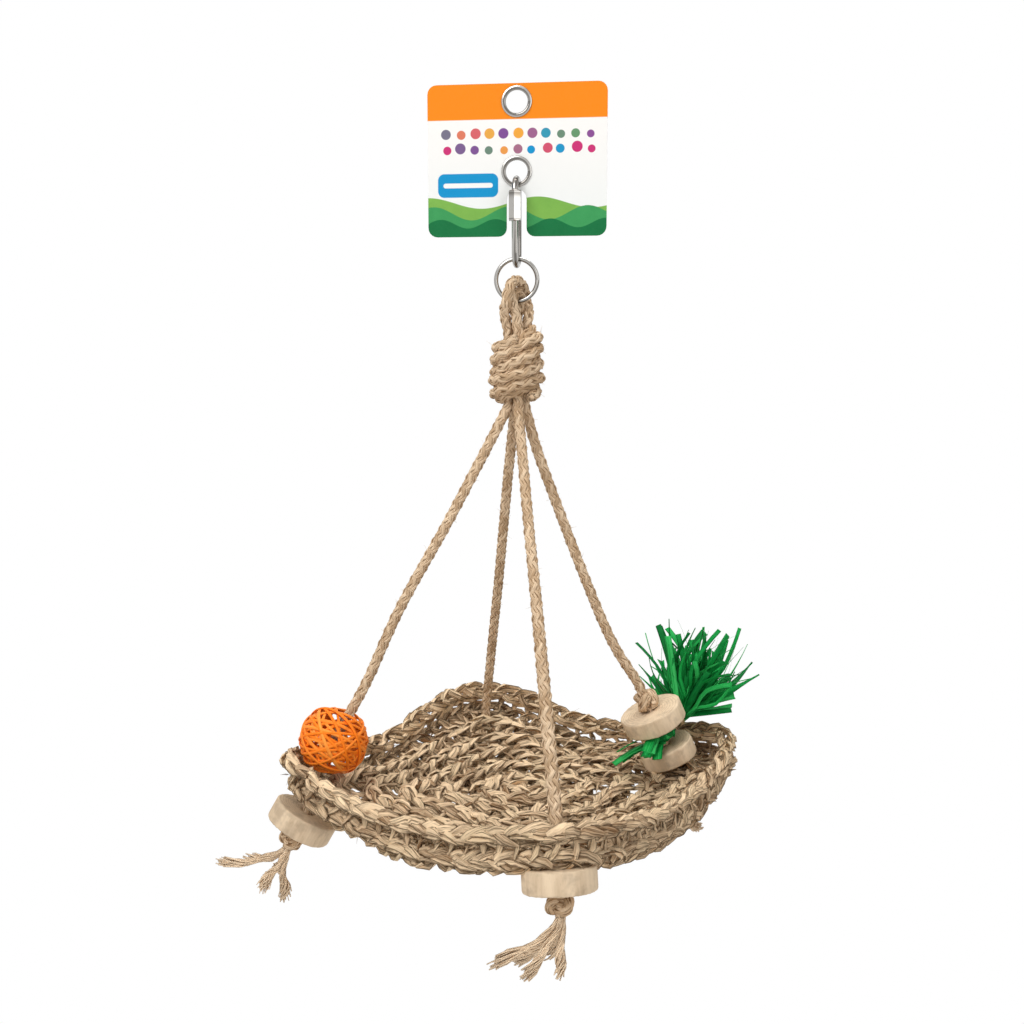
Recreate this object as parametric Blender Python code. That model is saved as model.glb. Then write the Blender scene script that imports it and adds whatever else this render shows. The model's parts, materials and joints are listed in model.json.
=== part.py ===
"""Bird hammock: a crocheted seagrass tray on four jute ropes, hung from a carded quick link.

Metres, +Z up. The origin is the hang point, the upper inside edge of the card's top eyelet.
The card lies in the XZ plane and faces -Y. The hammock is turned a little about the hang line.
"""

import math

import bmesh
import bpy
from mathutils import Matrix, Vector

# Driving dimensions

FIT_GAP = 0.0003            # clearance between pieces that seat on each other
BEND_GAP = 0.0004           # extra room where a rope crosses the curve of the ring

CARD_WIDTH = 0.097
CARD_HEIGHT = 0.080
CARD_THICKNESS = 0.0008
CARD_CORNER = 0.005
CARD_EDGE_MARGIN = 0.0012   # card left above the top eyelet's flange
SLOT_WIDTH = 0.0108
SLOT_MARGIN = 0.0010        # card left below the lower eyelet's flange
SLOT_MOUTH = 0.0045         # rounding where the slot meets the card's lower edge

EYELET_HOLE = 0.0118
EYELET_FLANGE = 0.0165
EYELET_WALL = 0.0005
EYELET_LIP = 0.0005
EYELET_SPACING = 0.0363

LINK_LENGTH = 0.049
LINK_WIDTH = 0.017
LINK_WIRE = 0.0035
LINK_GAP = 0.0050           # the opening that the sleeve nut closes
NUT_LENGTH = 0.016
NUT_ACROSS_FLATS = 0.0062
NUT_OVERLAP = 0.0015        # how far the closed nut reaches past the gap

RING_OUTSIDE = 0.025
RING_WIRE = 0.0024

ROPE = 0.006
LOOP_TURN = math.radians(-126)   # direction of the loops' front strands, in the hammock's frame
LOOP_ARCH = 0.0058               # inner loop's arch radius, on its centre line
HANG_DROP = 0.268                # ring's lower wire to the mat, at its corner holes
STRAND_OFFSET = 0.0045           # the four strands stand this far off the axis inside the knot
KNOT_TOP = 0.0160                # drop from the ring's lower wire to the first wrap
KNOT_TURNS = 4.75
KNOT_PITCH = 0.00680
KNOT_BULGE = 0.0015
KNOT_SLANT = math.radians(12)
KNOT_SLANT_AZIMUTH = math.radians(-8)
POINTS_PER_LOOP = 24

MAT_TURN = math.radians(18)      # the hammock's turn about the hang line, against the card
MAT_ROUNDS = 6
ROUND_PITCH = 0.0165
PLAIT_WIDTH = 0.0095
POST_WIDTH = 0.0055
PLAIT_HEIGHT = 0.0084            # a round, over its ridge
NET_EDGE = 0.0040                # a round or a post, at the edge of an opening
MAT_ROUNDNESS = 6.0              # exponent of the rounded square
MAT_SAG = 0.014                  # the middle of the mat and of its edges below its very corners
SAG_POWER = 1.4
RIM_RISE = 0.0105                # middle of the rim plait above the middle of the mat
RIM_PLAIT = 0.0096
RIM_COLUMNS = 48

LEG_BEND = 0.0055                # the legs turn straight down this far above the mat
RIGHT_LEG_HIGH = (0.0155, 0.1755)    # two places that the right leg passes: from the axis, above the mat
RIGHT_LEG_LOW = (0.0508, 0.0860)
TOY_LEAN = math.radians(24)      # the right leg's stretch through its toys, off the upright
DISC_DIAMETER = 0.0375
DISC_THICKNESS = 0.012
TOY_DISC_UPPER = 0.0380
TOY_DISC_LOWER = 0.0325
TOY_DISC_THICKNESS = 0.0105
DISC_EDGE = 0.0012
TAIL_KNOT_HEIGHT = 0.011
TAIL_KNOT_DIAMETER = 0.0155
FRAY_LENGTH = 0.034
TAIL_ROOM = 0.0008               # free rope between the mat and the other discs
LEFT_TAIL_DROP = 0.0075          # free rope between the mat and the left disc
LEFT_TAIL_LEAN = math.radians(30)

BALL_DIAMETER = 0.040
BALL_STRAND_WIDTH = 0.0026
BALL_STRAND_THICKNESS = 0.0018
BALL_STRAND_STEP = 0.00012       # each strand lies this much inside the last
BALL_STRANDS = 7
BALL_FACETS = 20
BALL_ROPE_ROOM = 0.0006
BALL_TILT_MOST = math.radians(66)
GOLDEN_ANGLE = 2.4               # a turn between neighbours that never lines up

RAFFIA_HUB = 0.0120              # thickness of the folded hank between the two slices
RAFFIA_HUB_DIAMETER = 0.019
RAFFIA_NECK = 0.0056
RAFFIA_REACH = 0.0205            # rope to the tie
RAFFIA_KNOB = 0.0105
RAFFIA_LENGTH = 0.056
RAFFIA_SPREAD = math.radians(62)
RAFFIA_TAIL = 0.026
RAFFIA_TAIL_WIDTH = 0.006
RAFFIA_TAIL_THICKNESS = 0.0016
RAFFIA_OUT = (0.85, 0.45, 0.20)      # from the rope to the tie, before it is laid square to the rope
RAFFIA_BRUSH = (0.35, 0.45, 0.85)    # the way the brush stands
RAFFIA_TAIL_SWINGS = (2.75, -2.60)   # directions of the two tails, off the neck's
TIE_WIRE = 0.0016

# Derived places

HOLE_RADIUS = EYELET_HOLE / 2
FLANGE_RADIUS = EYELET_FLANGE / 2
TOP_EYELET_Z = -HOLE_RADIUS
LOWER_EYELET_Z = TOP_EYELET_Z - EYELET_SPACING
CARD_TOP_Z = TOP_EYELET_Z + FLANGE_RADIUS + CARD_EDGE_MARGIN
CARD_BOTTOM_Z = CARD_TOP_Z - CARD_HEIGHT
SLOT_TOP_Z = LOWER_EYELET_Z - FLANGE_RADIUS - SLOT_MARGIN
FLANGE_FACE = CARD_THICKNESS / 2 + FIT_GAP
LINK_PIVOT_Z = LOWER_EYELET_Z - HOLE_RADIUS - FLANGE_FACE
LINK_TOP_Z = LOWER_EYELET_Z - HOLE_RADIUS + FIT_GAP + LINK_WIRE
LINK_BOTTOM_Z = LINK_TOP_Z - LINK_LENGTH
RING_PIVOT_Z = LINK_BOTTOM_Z + LINK_WIRE / 2
RING_RADIUS = (RING_OUTSIDE - RING_WIRE) / 2
RING_CENTRE_Z = LINK_BOTTOM_Z + LINK_WIRE + FIT_GAP + RING_WIRE / 2 - RING_RADIUS
HAMMOCK_PIVOT_Z = RING_CENTRE_Z - RING_RADIUS

ROPE_RADIUS = ROPE / 2
ROPE_HOLE = ROPE_RADIUS + FIT_GAP
DISC_BORE = ROPE_HOLE + FIT_GAP
LOOP_TOP = RING_WIRE / 2 + BEND_GAP + FIT_GAP + ROPE_RADIUS
LOOP_CENTRE = LOOP_TOP - LOOP_ARCH
OUTER_ARCH = LOOP_ARCH + ROPE + FIT_GAP
KNOT_RADIUS = STRAND_OFFSET + ROPE + FIT_GAP + BEND_GAP / 4
KNOT_LOW = KNOT_TOP + ROPE_RADIUS + KNOT_TURNS * KNOT_PITCH
KNOT_MIDDLE = (KNOT_TOP + KNOT_LOW) / 2
KNOT_EXIT = KNOT_LOW + ROPE_RADIUS + (KNOT_RADIUS + KNOT_BULGE) * math.tan(KNOT_SLANT)

MAT_REACH = MAT_ROUNDS * ROUND_PITCH
FLOOR_TOP = PLAIT_HEIGHT / 2

# The corners of the mat, by the direction in which each lies from the middle
CORNERS = {
    "front": math.radians(-90),
    "right": math.radians(0),
    "back": math.radians(90),
    "left": math.radians(180),
}
UP = Vector((0, 0, 1))


# Scene, materials and objects

def clear_scene():
    for old in list(bpy.data.objects):
        bpy.data.objects.remove(old, do_unlink=True)


def make_material(name, colour, roughness, metallic=0.0):
    finish = bpy.data.materials.new(name)
    finish.use_nodes = True
    shader = finish.node_tree.nodes["Principled BSDF"]
    shader.inputs["Base Color"].default_value = (*colour, 1.0)
    shader.inputs["Roughness"].default_value = roughness
    shader.inputs["Metallic"].default_value = metallic
    finish.diffuse_color = (*colour, 1.0)
    return finish


def make_empty(name, location, turn=0.0):
    pivot = bpy.data.objects.new(name, None)
    pivot.location = location
    pivot.rotation_euler = (0, 0, turn)
    bpy.context.collection.objects.link(pivot)
    return pivot


def place(name, data, finish, parent=None, matrix=None):
    """Link an object for the mesh or curve, with its finish, under its parent."""
    piece = bpy.data.objects.new(name, data)
    if finish is not None:
        data.materials.append(finish)
    bpy.context.collection.objects.link(piece)
    piece.parent = parent
    if matrix is not None:
        piece.matrix_basis = matrix
    return piece


def mesh_from(name, bm, smooth_angle=math.radians(40)):
    mesh = bpy.data.meshes.new(name)
    bm.to_mesh(mesh)
    bm.free()
    mesh.shade_smooth()
    mesh.set_sharp_from_angle(angle=smooth_angle)
    return mesh


def make_cutter(name, bm):
    cutter = place(name, mesh_from(name, bm), None)
    hide_helper(cutter)
    return cutter


def hide_helper(helper):
    helper.hide_render = True
    helper.display_type = "WIRE"


def boolean(piece, helper, operation):
    step = piece.modifiers.new(helper.name, "BOOLEAN")
    step.operation = operation
    step.object = helper
    step.solver = "EXACT"


# Paths, tubes and other shapes that several pieces share

def polar(radius, azimuth, z):
    return Vector((radius * math.cos(azimuth), radius * math.sin(azimuth), z))


def smooth_path(knots, spacing):
    """Points along a Catmull-Rom curve through the knots, about one spacing apart."""
    ends = [2 * knots[0] - knots[1]] + list(knots) + [2 * knots[-1] - knots[-2]]
    points = []
    for a, b, c, d in zip(ends, ends[1:], ends[2:], ends[3:]):
        steps = max(1, round((c - b).length / spacing))
        for step in range(steps):
            t = step / steps
            points.append(0.5 * (2 * b + (c - a) * t + (2 * a - 5 * b + 4 * c - d) * t ** 2
                                 + (3 * b - a - 3 * c + d) * t ** 3))
    points.append(knots[-1])
    return points


def tube(name, points, radius, resolution, finish, parent=None):
    """A round tube along the points, with flat filled ends."""
    curve = bpy.data.curves.new(name, "CURVE")
    curve.dimensions = "3D"
    curve.bevel_depth = radius
    curve.bevel_resolution = resolution
    curve.use_fill_caps = True
    spline = curve.splines.new("POLY")
    spline.points.add(len(points) - 1)
    for target, point in zip(spline.points, points):
        target.co = (*point, 1.0)
    spline.use_smooth = True
    return place(name, curve, finish, parent)


def revolve(profile, segments):
    """A closed profile of (radius, height) points turned all the way round Z."""
    bm = bmesh.new()
    rows = []
    for step in range(segments):
        angle = math.tau * step / segments
        rows.append([bm.verts.new(polar(r, angle, z)) for r, z in profile])
    for row, after in zip(rows, rows[1:] + rows[:1]):
        for i in range(len(profile)):
            j = (i + 1) % len(profile)
            bm.faces.new((row[i], after[i], after[j], row[j]))
    bmesh.ops.recalc_face_normals(bm, faces=bm.faces)
    return bm


def along(point, direction):
    """A matrix that puts a piece's origin at the point and its +Z axis on the direction."""
    return Matrix.Translation(point) @ direction.to_track_quat("Z", "Y").to_matrix().to_4x4()


def least_self_gap(points, diameter):
    """The least gap between the turns of one tube, on points well apart along it."""
    far = POINTS_PER_LOOP // 2
    gaps = [(a - b).length for i, a in enumerate(points) for b in points[i + far:]]
    return min(gaps) - diameter


# Card and eyelets

def arc(centre_x, centre_z, radius, start, sweep, steps):
    turns = [math.radians(start + sweep * step / steps) for step in range(steps + 1)]
    return [(centre_x + radius * math.cos(a), centre_z + radius * math.sin(a)) for a in turns]


def card_outline():
    """The card's edge with its rounded corners and its slot, anticlockwise from the slot."""
    half = CARD_WIDTH / 2 - CARD_CORNER
    low = CARD_BOTTOM_Z + CARD_CORNER
    high = CARD_TOP_Z - CARD_CORNER
    slot = SLOT_WIDTH / 2
    steps = 5
    mouth = slot + SLOT_MOUTH
    mouth_z = CARD_BOTTOM_Z + SLOT_MOUTH
    points = arc(mouth, mouth_z, SLOT_MOUTH, 180, 90, steps)
    points += arc(half, low, CARD_CORNER, -90, 90, steps)
    points += arc(half, high, CARD_CORNER, 0, 90, steps)
    points += arc(-half, high, CARD_CORNER, 90, 90, steps)
    points += arc(-half, low, CARD_CORNER, 180, 90, steps)
    points += arc(-mouth, mouth_z, SLOT_MOUTH, -90, 90, steps)
    points += arc(0, SLOT_TOP_Z - slot, slot, 180, -180, 2 * steps)
    return points


def build_card(finish):
    bm = bmesh.new()
    face = bm.faces.new([bm.verts.new((x, -CARD_THICKNESS / 2, z)) for x, z in card_outline()])
    walls = bmesh.ops.extrude_face_region(bm, geom=[face])
    moved = [item for item in walls["geom"] if isinstance(item, bmesh.types.BMVert)]
    bmesh.ops.translate(bm, verts=moved, vec=(0, CARD_THICKNESS, 0))
    bmesh.ops.recalc_face_normals(bm, faces=bm.faces)
    card = place("header_card", mesh_from("header_card", bm), finish)
    for name, z in (("cut_top_eyelet", TOP_EYELET_Z), ("cut_lower_eyelet", LOWER_EYELET_Z)):
        hole = bmesh.new()
        radius = HOLE_RADIUS + EYELET_WALL + FIT_GAP
        bmesh.ops.create_cone(hole, cap_ends=True, segments=24, radius1=radius, radius2=radius,
                              depth=4 * CARD_THICKNESS,
                              matrix=Matrix.Translation((0, 0, z)) @ Matrix.Rotation(math.pi / 2, 4, "X"))
        boolean(card, make_cutter(name, hole), "DIFFERENCE")


def build_eyelet(name, z, finish):
    """A set eyelet: barrel, and a rolled flange on each side of the card."""
    face = FLANGE_FACE
    outer = FLANGE_FACE + EYELET_LIP
    barrel = HOLE_RADIUS + EYELET_WALL
    roll = EYELET_LIP / 2
    half = [(barrel, face), (FLANGE_RADIUS, face), (FLANGE_RADIUS - roll, outer - roll / 2),
            (HOLE_RADIUS + 2.5 * roll, outer), (HOLE_RADIUS + roll, outer - roll), (HOLE_RADIUS, face / 2)]
    profile = half + [(r, -y) for r, y in reversed(half)]
    turned = Matrix.Translation((0, 0, z)) @ Matrix.Rotation(math.pi / 2, 4, "X")
    place(name, mesh_from(name, revolve(profile, 20)), finish, matrix=turned)


# Quick link, sleeve nut and ring

def build_link(finish, pivot):
    """The link lies in the YZ plane. Its wire starts below the gap and ends above it."""
    bow = (LINK_WIDTH - LINK_WIRE) / 2
    top = LINK_TOP_Z - LINK_WIRE / 2 - bow - LINK_PIVOT_Z
    low = LINK_BOTTOM_Z + LINK_WIRE / 2 + bow - LINK_PIVOT_Z
    gap_top = top - NUT_OVERLAP
    steps = 10
    points = [Vector((0, -bow, gap_top - LINK_GAP))]
    points += [Vector((0, y, z)) for y, z in arc(0, low, bow, 180, 180, steps)]
    points += [Vector((0, y, z)) for y, z in arc(0, top, bow, 0, 180, steps)]
    points += [Vector((0, -bow, gap_top))]
    tube("quick_link", points, LINK_WIRE / 2, 2, finish, pivot)
    return gap_top + NUT_OVERLAP, -bow


def build_nut(nut_top, y, finish, pivot):
    """A hexagonal sleeve with chamfered ends, bored for the wire."""
    flat = NUT_ACROSS_FLATS / 2
    corner = flat / math.cos(math.pi / 6)
    bore = (LINK_WIRE / 2 + FIT_GAP) / math.cos(math.pi / 12)
    chamfer = corner - flat
    half = NUT_LENGTH / 2
    profile = [(bore, -half), (flat, -half), (corner, -half + chamfer),
               (corner, half - chamfer), (flat, half), (bore, half)]
    bm = bmesh.new()
    rows = []
    sides = 12
    for step in range(sides):
        angle = math.tau * step / sides
        on_corner = step % 2 == 0
        row = []
        for i, (r, z) in enumerate(profile):
            radius = flat if r == corner and not on_corner else r
            level = math.copysign(half, z) if i in (2, 3) and not on_corner else z
            shrink = EYELET_LIP / 4 if i in (1, 4) and not on_corner else 0.0
            row.append(bm.verts.new(polar(radius - shrink, angle, level)))
        rows.append(row)
    count = len(profile)
    for row, after in zip(rows, rows[1:] + rows[:1]):
        for i in range(count):
            j = (i + 1) % count
            bm.faces.new((row[i], after[i], after[j], row[j]))
    bmesh.ops.recalc_face_normals(bm, faces=bm.faces)
    centre = Vector((0, y, nut_top - half))
    place("link_sleeve_nut", mesh_from("link_sleeve_nut", bm), finish, pivot,
          Matrix.Translation(centre))


def build_ring(finish, pivot):
    steps = 32
    section = 6
    profile = [(RING_RADIUS + x, z) for x, z in arc(0, 0, RING_WIRE / 2, 0, 360, section)[:-1]]
    upright = Matrix.Translation((0, 0, RING_CENTRE_Z - RING_PIVOT_Z)) @ Matrix.Rotation(math.pi / 2, 4, "X")
    place("hang_ring", mesh_from("hang_ring", revolve(profile, steps)), finish, pivot, upright)


# Ropes and knots

def loop_points(arch, front, back):
    """One rope over the ring: up from its front strand, over the wire and down its back strand."""
    drop = KNOT_TOP + LOOP_CENTRE
    steps = 6
    spread = []
    for step in range(1, steps + 1):
        t = step / steps
        spread.append((t, t ** 0.7, t ** 1.5))
    side = {}
    for key, start, end in (("front", LOOP_TURN, front), ("back", LOOP_TURN + math.pi, back)):
        side[key] = [polar(arch + (STRAND_OFFSET - arch) * near, start + (end - start) * swing,
                           LOOP_CENTRE - drop * t) for t, swing, near in spread]
        side[key].append(polar(STRAND_OFFSET, end, -KNOT_MIDDLE + FIT_GAP / 2))
    over = []
    arch_steps = 12
    for step in range(arch_steps + 1):
        a = math.pi * step / arch_steps
        over.append(polar(arch * math.cos(a), LOOP_TURN, LOOP_CENTRE + arch * math.sin(a)))
    return list(reversed(side["front"])) + over + side["back"]


def knot_points():
    """The wrapping: a slanting helix that swells in the middle, straight at both ends."""
    count = round(KNOT_TURNS * POINTS_PER_LOOP)
    points = []
    for step in range(count + 1):
        t = step / count
        azimuth = LOOP_TURN - math.tau * KNOT_TURNS * t
        radius = KNOT_RADIUS + KNOT_BULGE * math.sin(math.pi * t)
        z = -KNOT_TOP - ROPE_RADIUS - KNOT_TURNS * KNOT_PITCH * t
        z += radius * math.tan(KNOT_SLANT) * math.cos(azimuth - KNOT_SLANT_AZIMUTH)
        points.append(polar(radius, azimuth, z))
    first = points[0] + (points[0] - points[1]).normalized() * ROPE
    last = points[-1] + (points[-1] - points[-2]).normalized() * ROPE
    return [first] + points + [last]


def leg_points(name, azimuth, hole_radius):
    """A leg from the middle of the knot to the mat, and its tail down to the frayed end."""
    start = polar(STRAND_OFFSET, azimuth, -KNOT_MIDDLE - FIT_GAP / 2)
    leave = polar(STRAND_OFFSET, azimuth, -KNOT_EXIT)
    bend = polar(hole_radius, azimuth, mat_level(hole_radius) + LEG_BEND)
    if name == "right":
        toys = right_toy_line(azimuth, hole_radius)
        bends = (RIGHT_LEG_HIGH, RIGHT_LEG_LOW)
        middle = [polar(radius, azimuth, height - HANG_DROP) for radius, height in bends]
        middle.append(toys["upper_end"])
    else:
        middle = [leave.lerp(bend, 0.5)]
    upper = smooth_path([leave] + middle, 2.5 * ROPE)
    return [start] + upper + [bend] + tail_points(name, azimuth, hole_radius)


def tail_points(name, azimuth, hole_radius):
    """The rope below its bend: through the mat, the disc and the stopper knot."""
    under = polar(hole_radius, azimuth, mat_level(hole_radius) - PLAIT_HEIGHT / 2)
    if name == "left":
        start = under - UP * ROPE_RADIUS
        lean = LEFT_TAIL_LEAN
        length = LEFT_TAIL_DROP + tail_length()
    else:
        start = under - UP * FIT_GAP
        lean = mat_slope(hole_radius)
        length = TAIL_ROOM + tail_length()
    return [under, start, start + polar(math.sin(lean), azimuth, -math.cos(lean)) * length]


def tail_length():
    return DISC_THICKNESS + TAIL_KNOT_HEIGHT + 3 * FIT_GAP


def tail_frame(name, azimuth, hole_radius):
    """Where the disc under a corner starts, and the way its tail runs."""
    points = tail_points(name, azimuth, hole_radius)
    way = (points[-1] - points[-2]).normalized()
    return points[-1] - way * tail_length(), way


def right_toy_line(azimuth, hole_radius):
    """The straight stretch of the right leg that carries the two slices and the raffia."""
    bend = polar(hole_radius, azimuth, mat_level(hole_radius) + LEG_BEND)
    way = polar(-math.sin(TOY_LEAN), azimuth, math.cos(TOY_LEAN))
    slope = mat_slope(hole_radius)
    lean = TOY_LEAN - slope
    low = TOY_DISC_LOWER / 2 * math.sin(lean) + TOY_DISC_THICKNESS / 2 * math.cos(lean)
    lift = (FLOOR_TOP + 3 * FIT_GAP + low - LEG_BEND * math.cos(slope)) / math.cos(lean)
    stack = TOY_DISC_THICKNESS + RAFFIA_HUB + 2 * FIT_GAP
    knot = stack + TOY_DISC_THICKNESS / 2 + FIT_GAP + TAIL_KNOT_HEIGHT / 2
    return {
        "way": way,
        "lower": bend + way * lift,
        "raffia": bend + way * (lift + stack / 2),
        "upper": bend + way * (lift + stack),
        "knot": bend + way * (lift + knot),
        "upper_end": bend + way * (lift + knot + TAIL_KNOT_HEIGHT),
    }


def build_knot_lump(name, matrix, finish, parent):
    """A tightened overhand knot: a squat ring round the rope with three lobes that twist."""
    columns = 12
    section = 8
    lobes = 3
    inner = ROPE_HOLE / math.cos(math.pi / columns)
    thick = (TAIL_KNOT_DIAMETER / 2 - inner) / 2
    bm = bmesh.new()
    rows = []
    for column in range(columns):
        angle = math.tau * column / columns
        row = []
        for step in range(section):
            a = math.tau * step / section
            twist = math.cos(lobes * angle + a)
            swell = 1 + 0.12 * twist * max(0.0, math.cos(a))
            z = TAIL_KNOT_HEIGHT / 2 * math.sin(a)
            row.append(bm.verts.new(polar(inner + thick + thick * math.cos(a) * swell, angle, z)))
        rows.append(row)
    for row, after in zip(rows, rows[1:] + rows[:1]):
        for i in range(section):
            j = (i + 1) % section
            bm.faces.new((row[i], after[i], after[j], row[j]))
    bmesh.ops.recalc_face_normals(bm, faces=bm.faces)
    place(name, mesh_from(name, bm, math.radians(70)), finish, parent, matrix)


def build_frayed_end(name, start, way, sweep, finish, parent):
    """The rope's undone end: a short stub whose yarns part, spread and taper."""
    bm = bmesh.new()
    stub = ROPE
    grid = 3
    half = ROPE_RADIUS * 0.80
    bmesh.ops.create_grid(bm, x_segments=grid, y_segments=grid, size=half)
    top = bmesh.ops.extrude_face_region(bm, geom=list(bm.faces))
    raised = [item for item in top["geom"] if isinstance(item, bmesh.types.BMVert)]
    bmesh.ops.translate(bm, verts=raised, vec=(0, 0, stub))
    ends = [item for item in top["geom"] if isinstance(item, bmesh.types.BMFace)]
    bmesh.ops.recalc_face_normals(bm, faces=bm.faces)
    bmesh.ops.inset_individual(bm, faces=ends, thickness=ROPE_RADIUS * 0.06)
    frame = along(start, way)
    drift = frame.to_3x3().transposed() @ sweep
    for index, face in enumerate(ends):
        out = face.calc_center_median() - UP * stub
        spread = Vector((out.x, out.y, 0)) / half
        length = (FRAY_LENGTH - stub) * (0.78 + 0.22 * math.cos(GOLDEN_ANGLE * index))
        steps = 3
        current = face
        for step in range(1, steps + 1):
            grown = bmesh.ops.extrude_discrete_faces(bm, faces=[current])
            current = grown["faces"][0]
            share = length / steps
            move = UP * share * (1 - 0.12 * step) + (drift + spread * 0.42) * share * 0.45 * step
            bmesh.ops.translate(bm, verts=current.verts, vec=move)
            middle = current.calc_center_median()
            for vert in current.verts:
                vert.co = middle + (vert.co - middle) * 0.95
    bmesh.ops.recalc_face_normals(bm, faces=bm.faces)
    place(name, mesh_from(name, bm), finish, parent, frame)


# Wood slices

def build_disc(name, diameter, thickness, phase, matrix, finish, parent):
    """A sawn slice of branch, bored for the rope: not quite round, with eased edges."""
    columns = 20
    half = thickness / 2
    bm = bmesh.new()
    rows = []
    for column in range(columns):
        angle = math.tau * column / columns
        wander = 0.020 * math.cos(2 * angle + phase) + 0.012 * math.cos(3 * angle - 2 * phase)
        rim = diameter / 2 * (0.970 + wander)
        bore = DISC_BORE / math.cos(math.pi / columns)
        profile = [(bore, -half), (rim - DISC_EDGE, -half), (rim, -half + DISC_EDGE),
                   (rim, half - DISC_EDGE), (rim - DISC_EDGE, half), (bore, half)]
        rows.append([bm.verts.new(polar(r, angle, z)) for r, z in profile])
    count = len(rows[0])
    for row, after in zip(rows, rows[1:] + rows[:1]):
        for i in range(count):
            j = (i + 1) % count
            bm.faces.new((row[i], after[i], after[j], row[j]))
    bmesh.ops.recalc_face_normals(bm, faces=bm.faces)
    place(name, mesh_from(name, bm), finish, parent, matrix)


# Seagrass mat and rim

def rounded(x, y):
    """Draw a square's corners in: a point keeps its round, and the round becomes a soft square."""
    reach = max(abs(x), abs(y))
    if reach == 0:
        return x, y
    norm = (abs(x) ** MAT_ROUNDNESS + abs(y) ** MAT_ROUNDNESS) ** (1 / MAT_ROUNDNESS)
    return x * reach / norm, y * reach / norm


def sag(x, y):
    """The mat's height there against its height at the corner holes, where the ropes hold it up."""
    corner_x, corner_y = rounded(MAT_REACH, MAT_REACH)
    share = abs(x * y) / (corner_x * corner_y)
    return MAT_SAG * (share ** SAG_POWER - corner_share(corner_hole_radius(MAT_ROUNDS - 1)) ** SAG_POWER)


def corner_share(radius):
    """How near a point of the diagonal is to the corner, by area."""
    return radius ** 2 / (2 * rounded(MAT_REACH, MAT_REACH)[0] ** 2)


def mat_level(radius):
    """The height of the mat's middle on a diagonal."""
    return sag(radius / math.sqrt(2), radius / math.sqrt(2)) - HANG_DROP


def mat_slope(radius):
    """How steeply the mat climbs towards its corner, on a diagonal."""
    climb = 2 * SAG_POWER * MAT_SAG * corner_share(radius) ** SAG_POWER / radius
    return math.atan(climb)


def is_round(line, beside):
    """Whether a line of the net between two crossings belongs to a round, or is a post."""
    return abs(line) > abs(beside + 0.5)


def half_width(line, beside):
    return (PLAIT_WIDTH if is_round(line, beside) else POST_WIDTH) / 2


def opening_corner(i, j, side_x, side_y):
    """A corner of the opening between lines i, i + 1 and j, j + 1 of the net."""
    line_x = i + side_x
    line_y = j + side_y
    inset_x = half_width(line_x, j) * (1 if side_x == 0 else -1)
    inset_y = half_width(line_y, i) * (1 if side_y == 0 else -1)
    return line_x * ROUND_PITCH + inset_x, line_y * ROUND_PITCH + inset_y


def corner_hole_radius(cell):
    """How far out on the diagonal the middle of an opening lies, between its inner and side corners."""
    corners = [rounded(*opening_corner(cell, cell, sx, sy)) for sx, sy in ((0, 0), (1, 0), (0, 1))]
    x = sum(corner[0] for corner in corners) / len(corners)
    y = sum(corner[1] for corner in corners) / len(corners)
    return math.hypot(x, y)


def build_mat(finish, parent):
    """A net of concentric square rounds, each with a ridge, joined by posts across the openings."""
    bm = bmesh.new()
    lines = range(-MAT_ROUNDS, MAT_ROUNDS + 1)
    cells = range(-MAT_ROUNDS - 1, MAT_ROUNDS + 1)
    layers = {}
    for side in (1, -1):
        corners = {}
        centres = {}
        for i in cells:
            for j in cells:
                for sx in (0, 1):
                    for sy in (0, 1):
                        if abs(i + sx) <= MAT_ROUNDS and abs(j + sy) <= MAT_ROUNDS:
                            x, y = rounded(*opening_corner(i, j, sx, sy))
                            corners[i, j, sx, sy] = bm.verts.new((x, y, sag(x, y) + side * NET_EDGE / 2))
        for i in lines:
            for j in lines:
                x, y = rounded(i * ROUND_PITCH, j * ROUND_PITCH)
                centres[i, j] = bm.verts.new((x, y, sag(x, y) + side * PLAIT_HEIGHT / 2))
        layers[side] = corners
        add_net_faces(bm, corners, centres, lines)
    add_opening_walls(bm, layers, cells)
    bmesh.ops.recalc_face_normals(bm, faces=bm.faces)
    turned = Matrix.Translation((0, 0, -HANG_DROP)) @ Matrix.Rotation(math.pi / 4, 4, "Z")
    place("seagrass_mat", mesh_from("seagrass_mat", bm, math.radians(20)), finish, parent, turned)


def add_net_faces(bm, corners, centres, lines):
    """One side of the net: ridged strips on the rounds, flat strips on the posts."""
    for i in lines:
        for j in lines:
            for run_x, run_y in ((1, 0), (0, 1)):
                if max(i + run_x, j + run_y) > MAT_ROUNDS:
                    continue
                if run_x:
                    near = [corners[i, j - 1, 0, 1], corners[i, j - 1, 1, 1]]
                    far = [corners[i, j, 0, 0], corners[i, j, 1, 0]]
                    ridge = is_round(j, i)
                else:
                    near = [corners[i - 1, j, 1, 0], corners[i - 1, j, 1, 1]]
                    far = [corners[i, j, 0, 0], corners[i, j, 0, 1]]
                    ridge = is_round(i, j)
                start = centres[i, j]
                end = centres[i + run_x, j + run_y]
                if ridge:
                    bm.faces.new((start, near[0], near[1], end))
                    bm.faces.new((start, end, far[1], far[0]))
                else:
                    bm.faces.new((near[0], near[1], far[1], far[0]))
                    bm.faces.new((start, near[0], far[0]))
                    bm.faces.new((end, far[1], near[1]))
    reach = MAT_ROUNDS
    for line in lines:
        for edge, out in ((-reach, -reach - 1), (reach, reach)):
            side = 0 if out > 0 else 1
            first = corners[out, line - 1, side, 1]
            second = corners[out, line, side, 0]
            bm.faces.new((centres[edge, line], first, second))
            first = corners[line - 1, out, 1, side]
            second = corners[line, out, 0, side]
            bm.faces.new((centres[line, edge], first, second))


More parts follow.
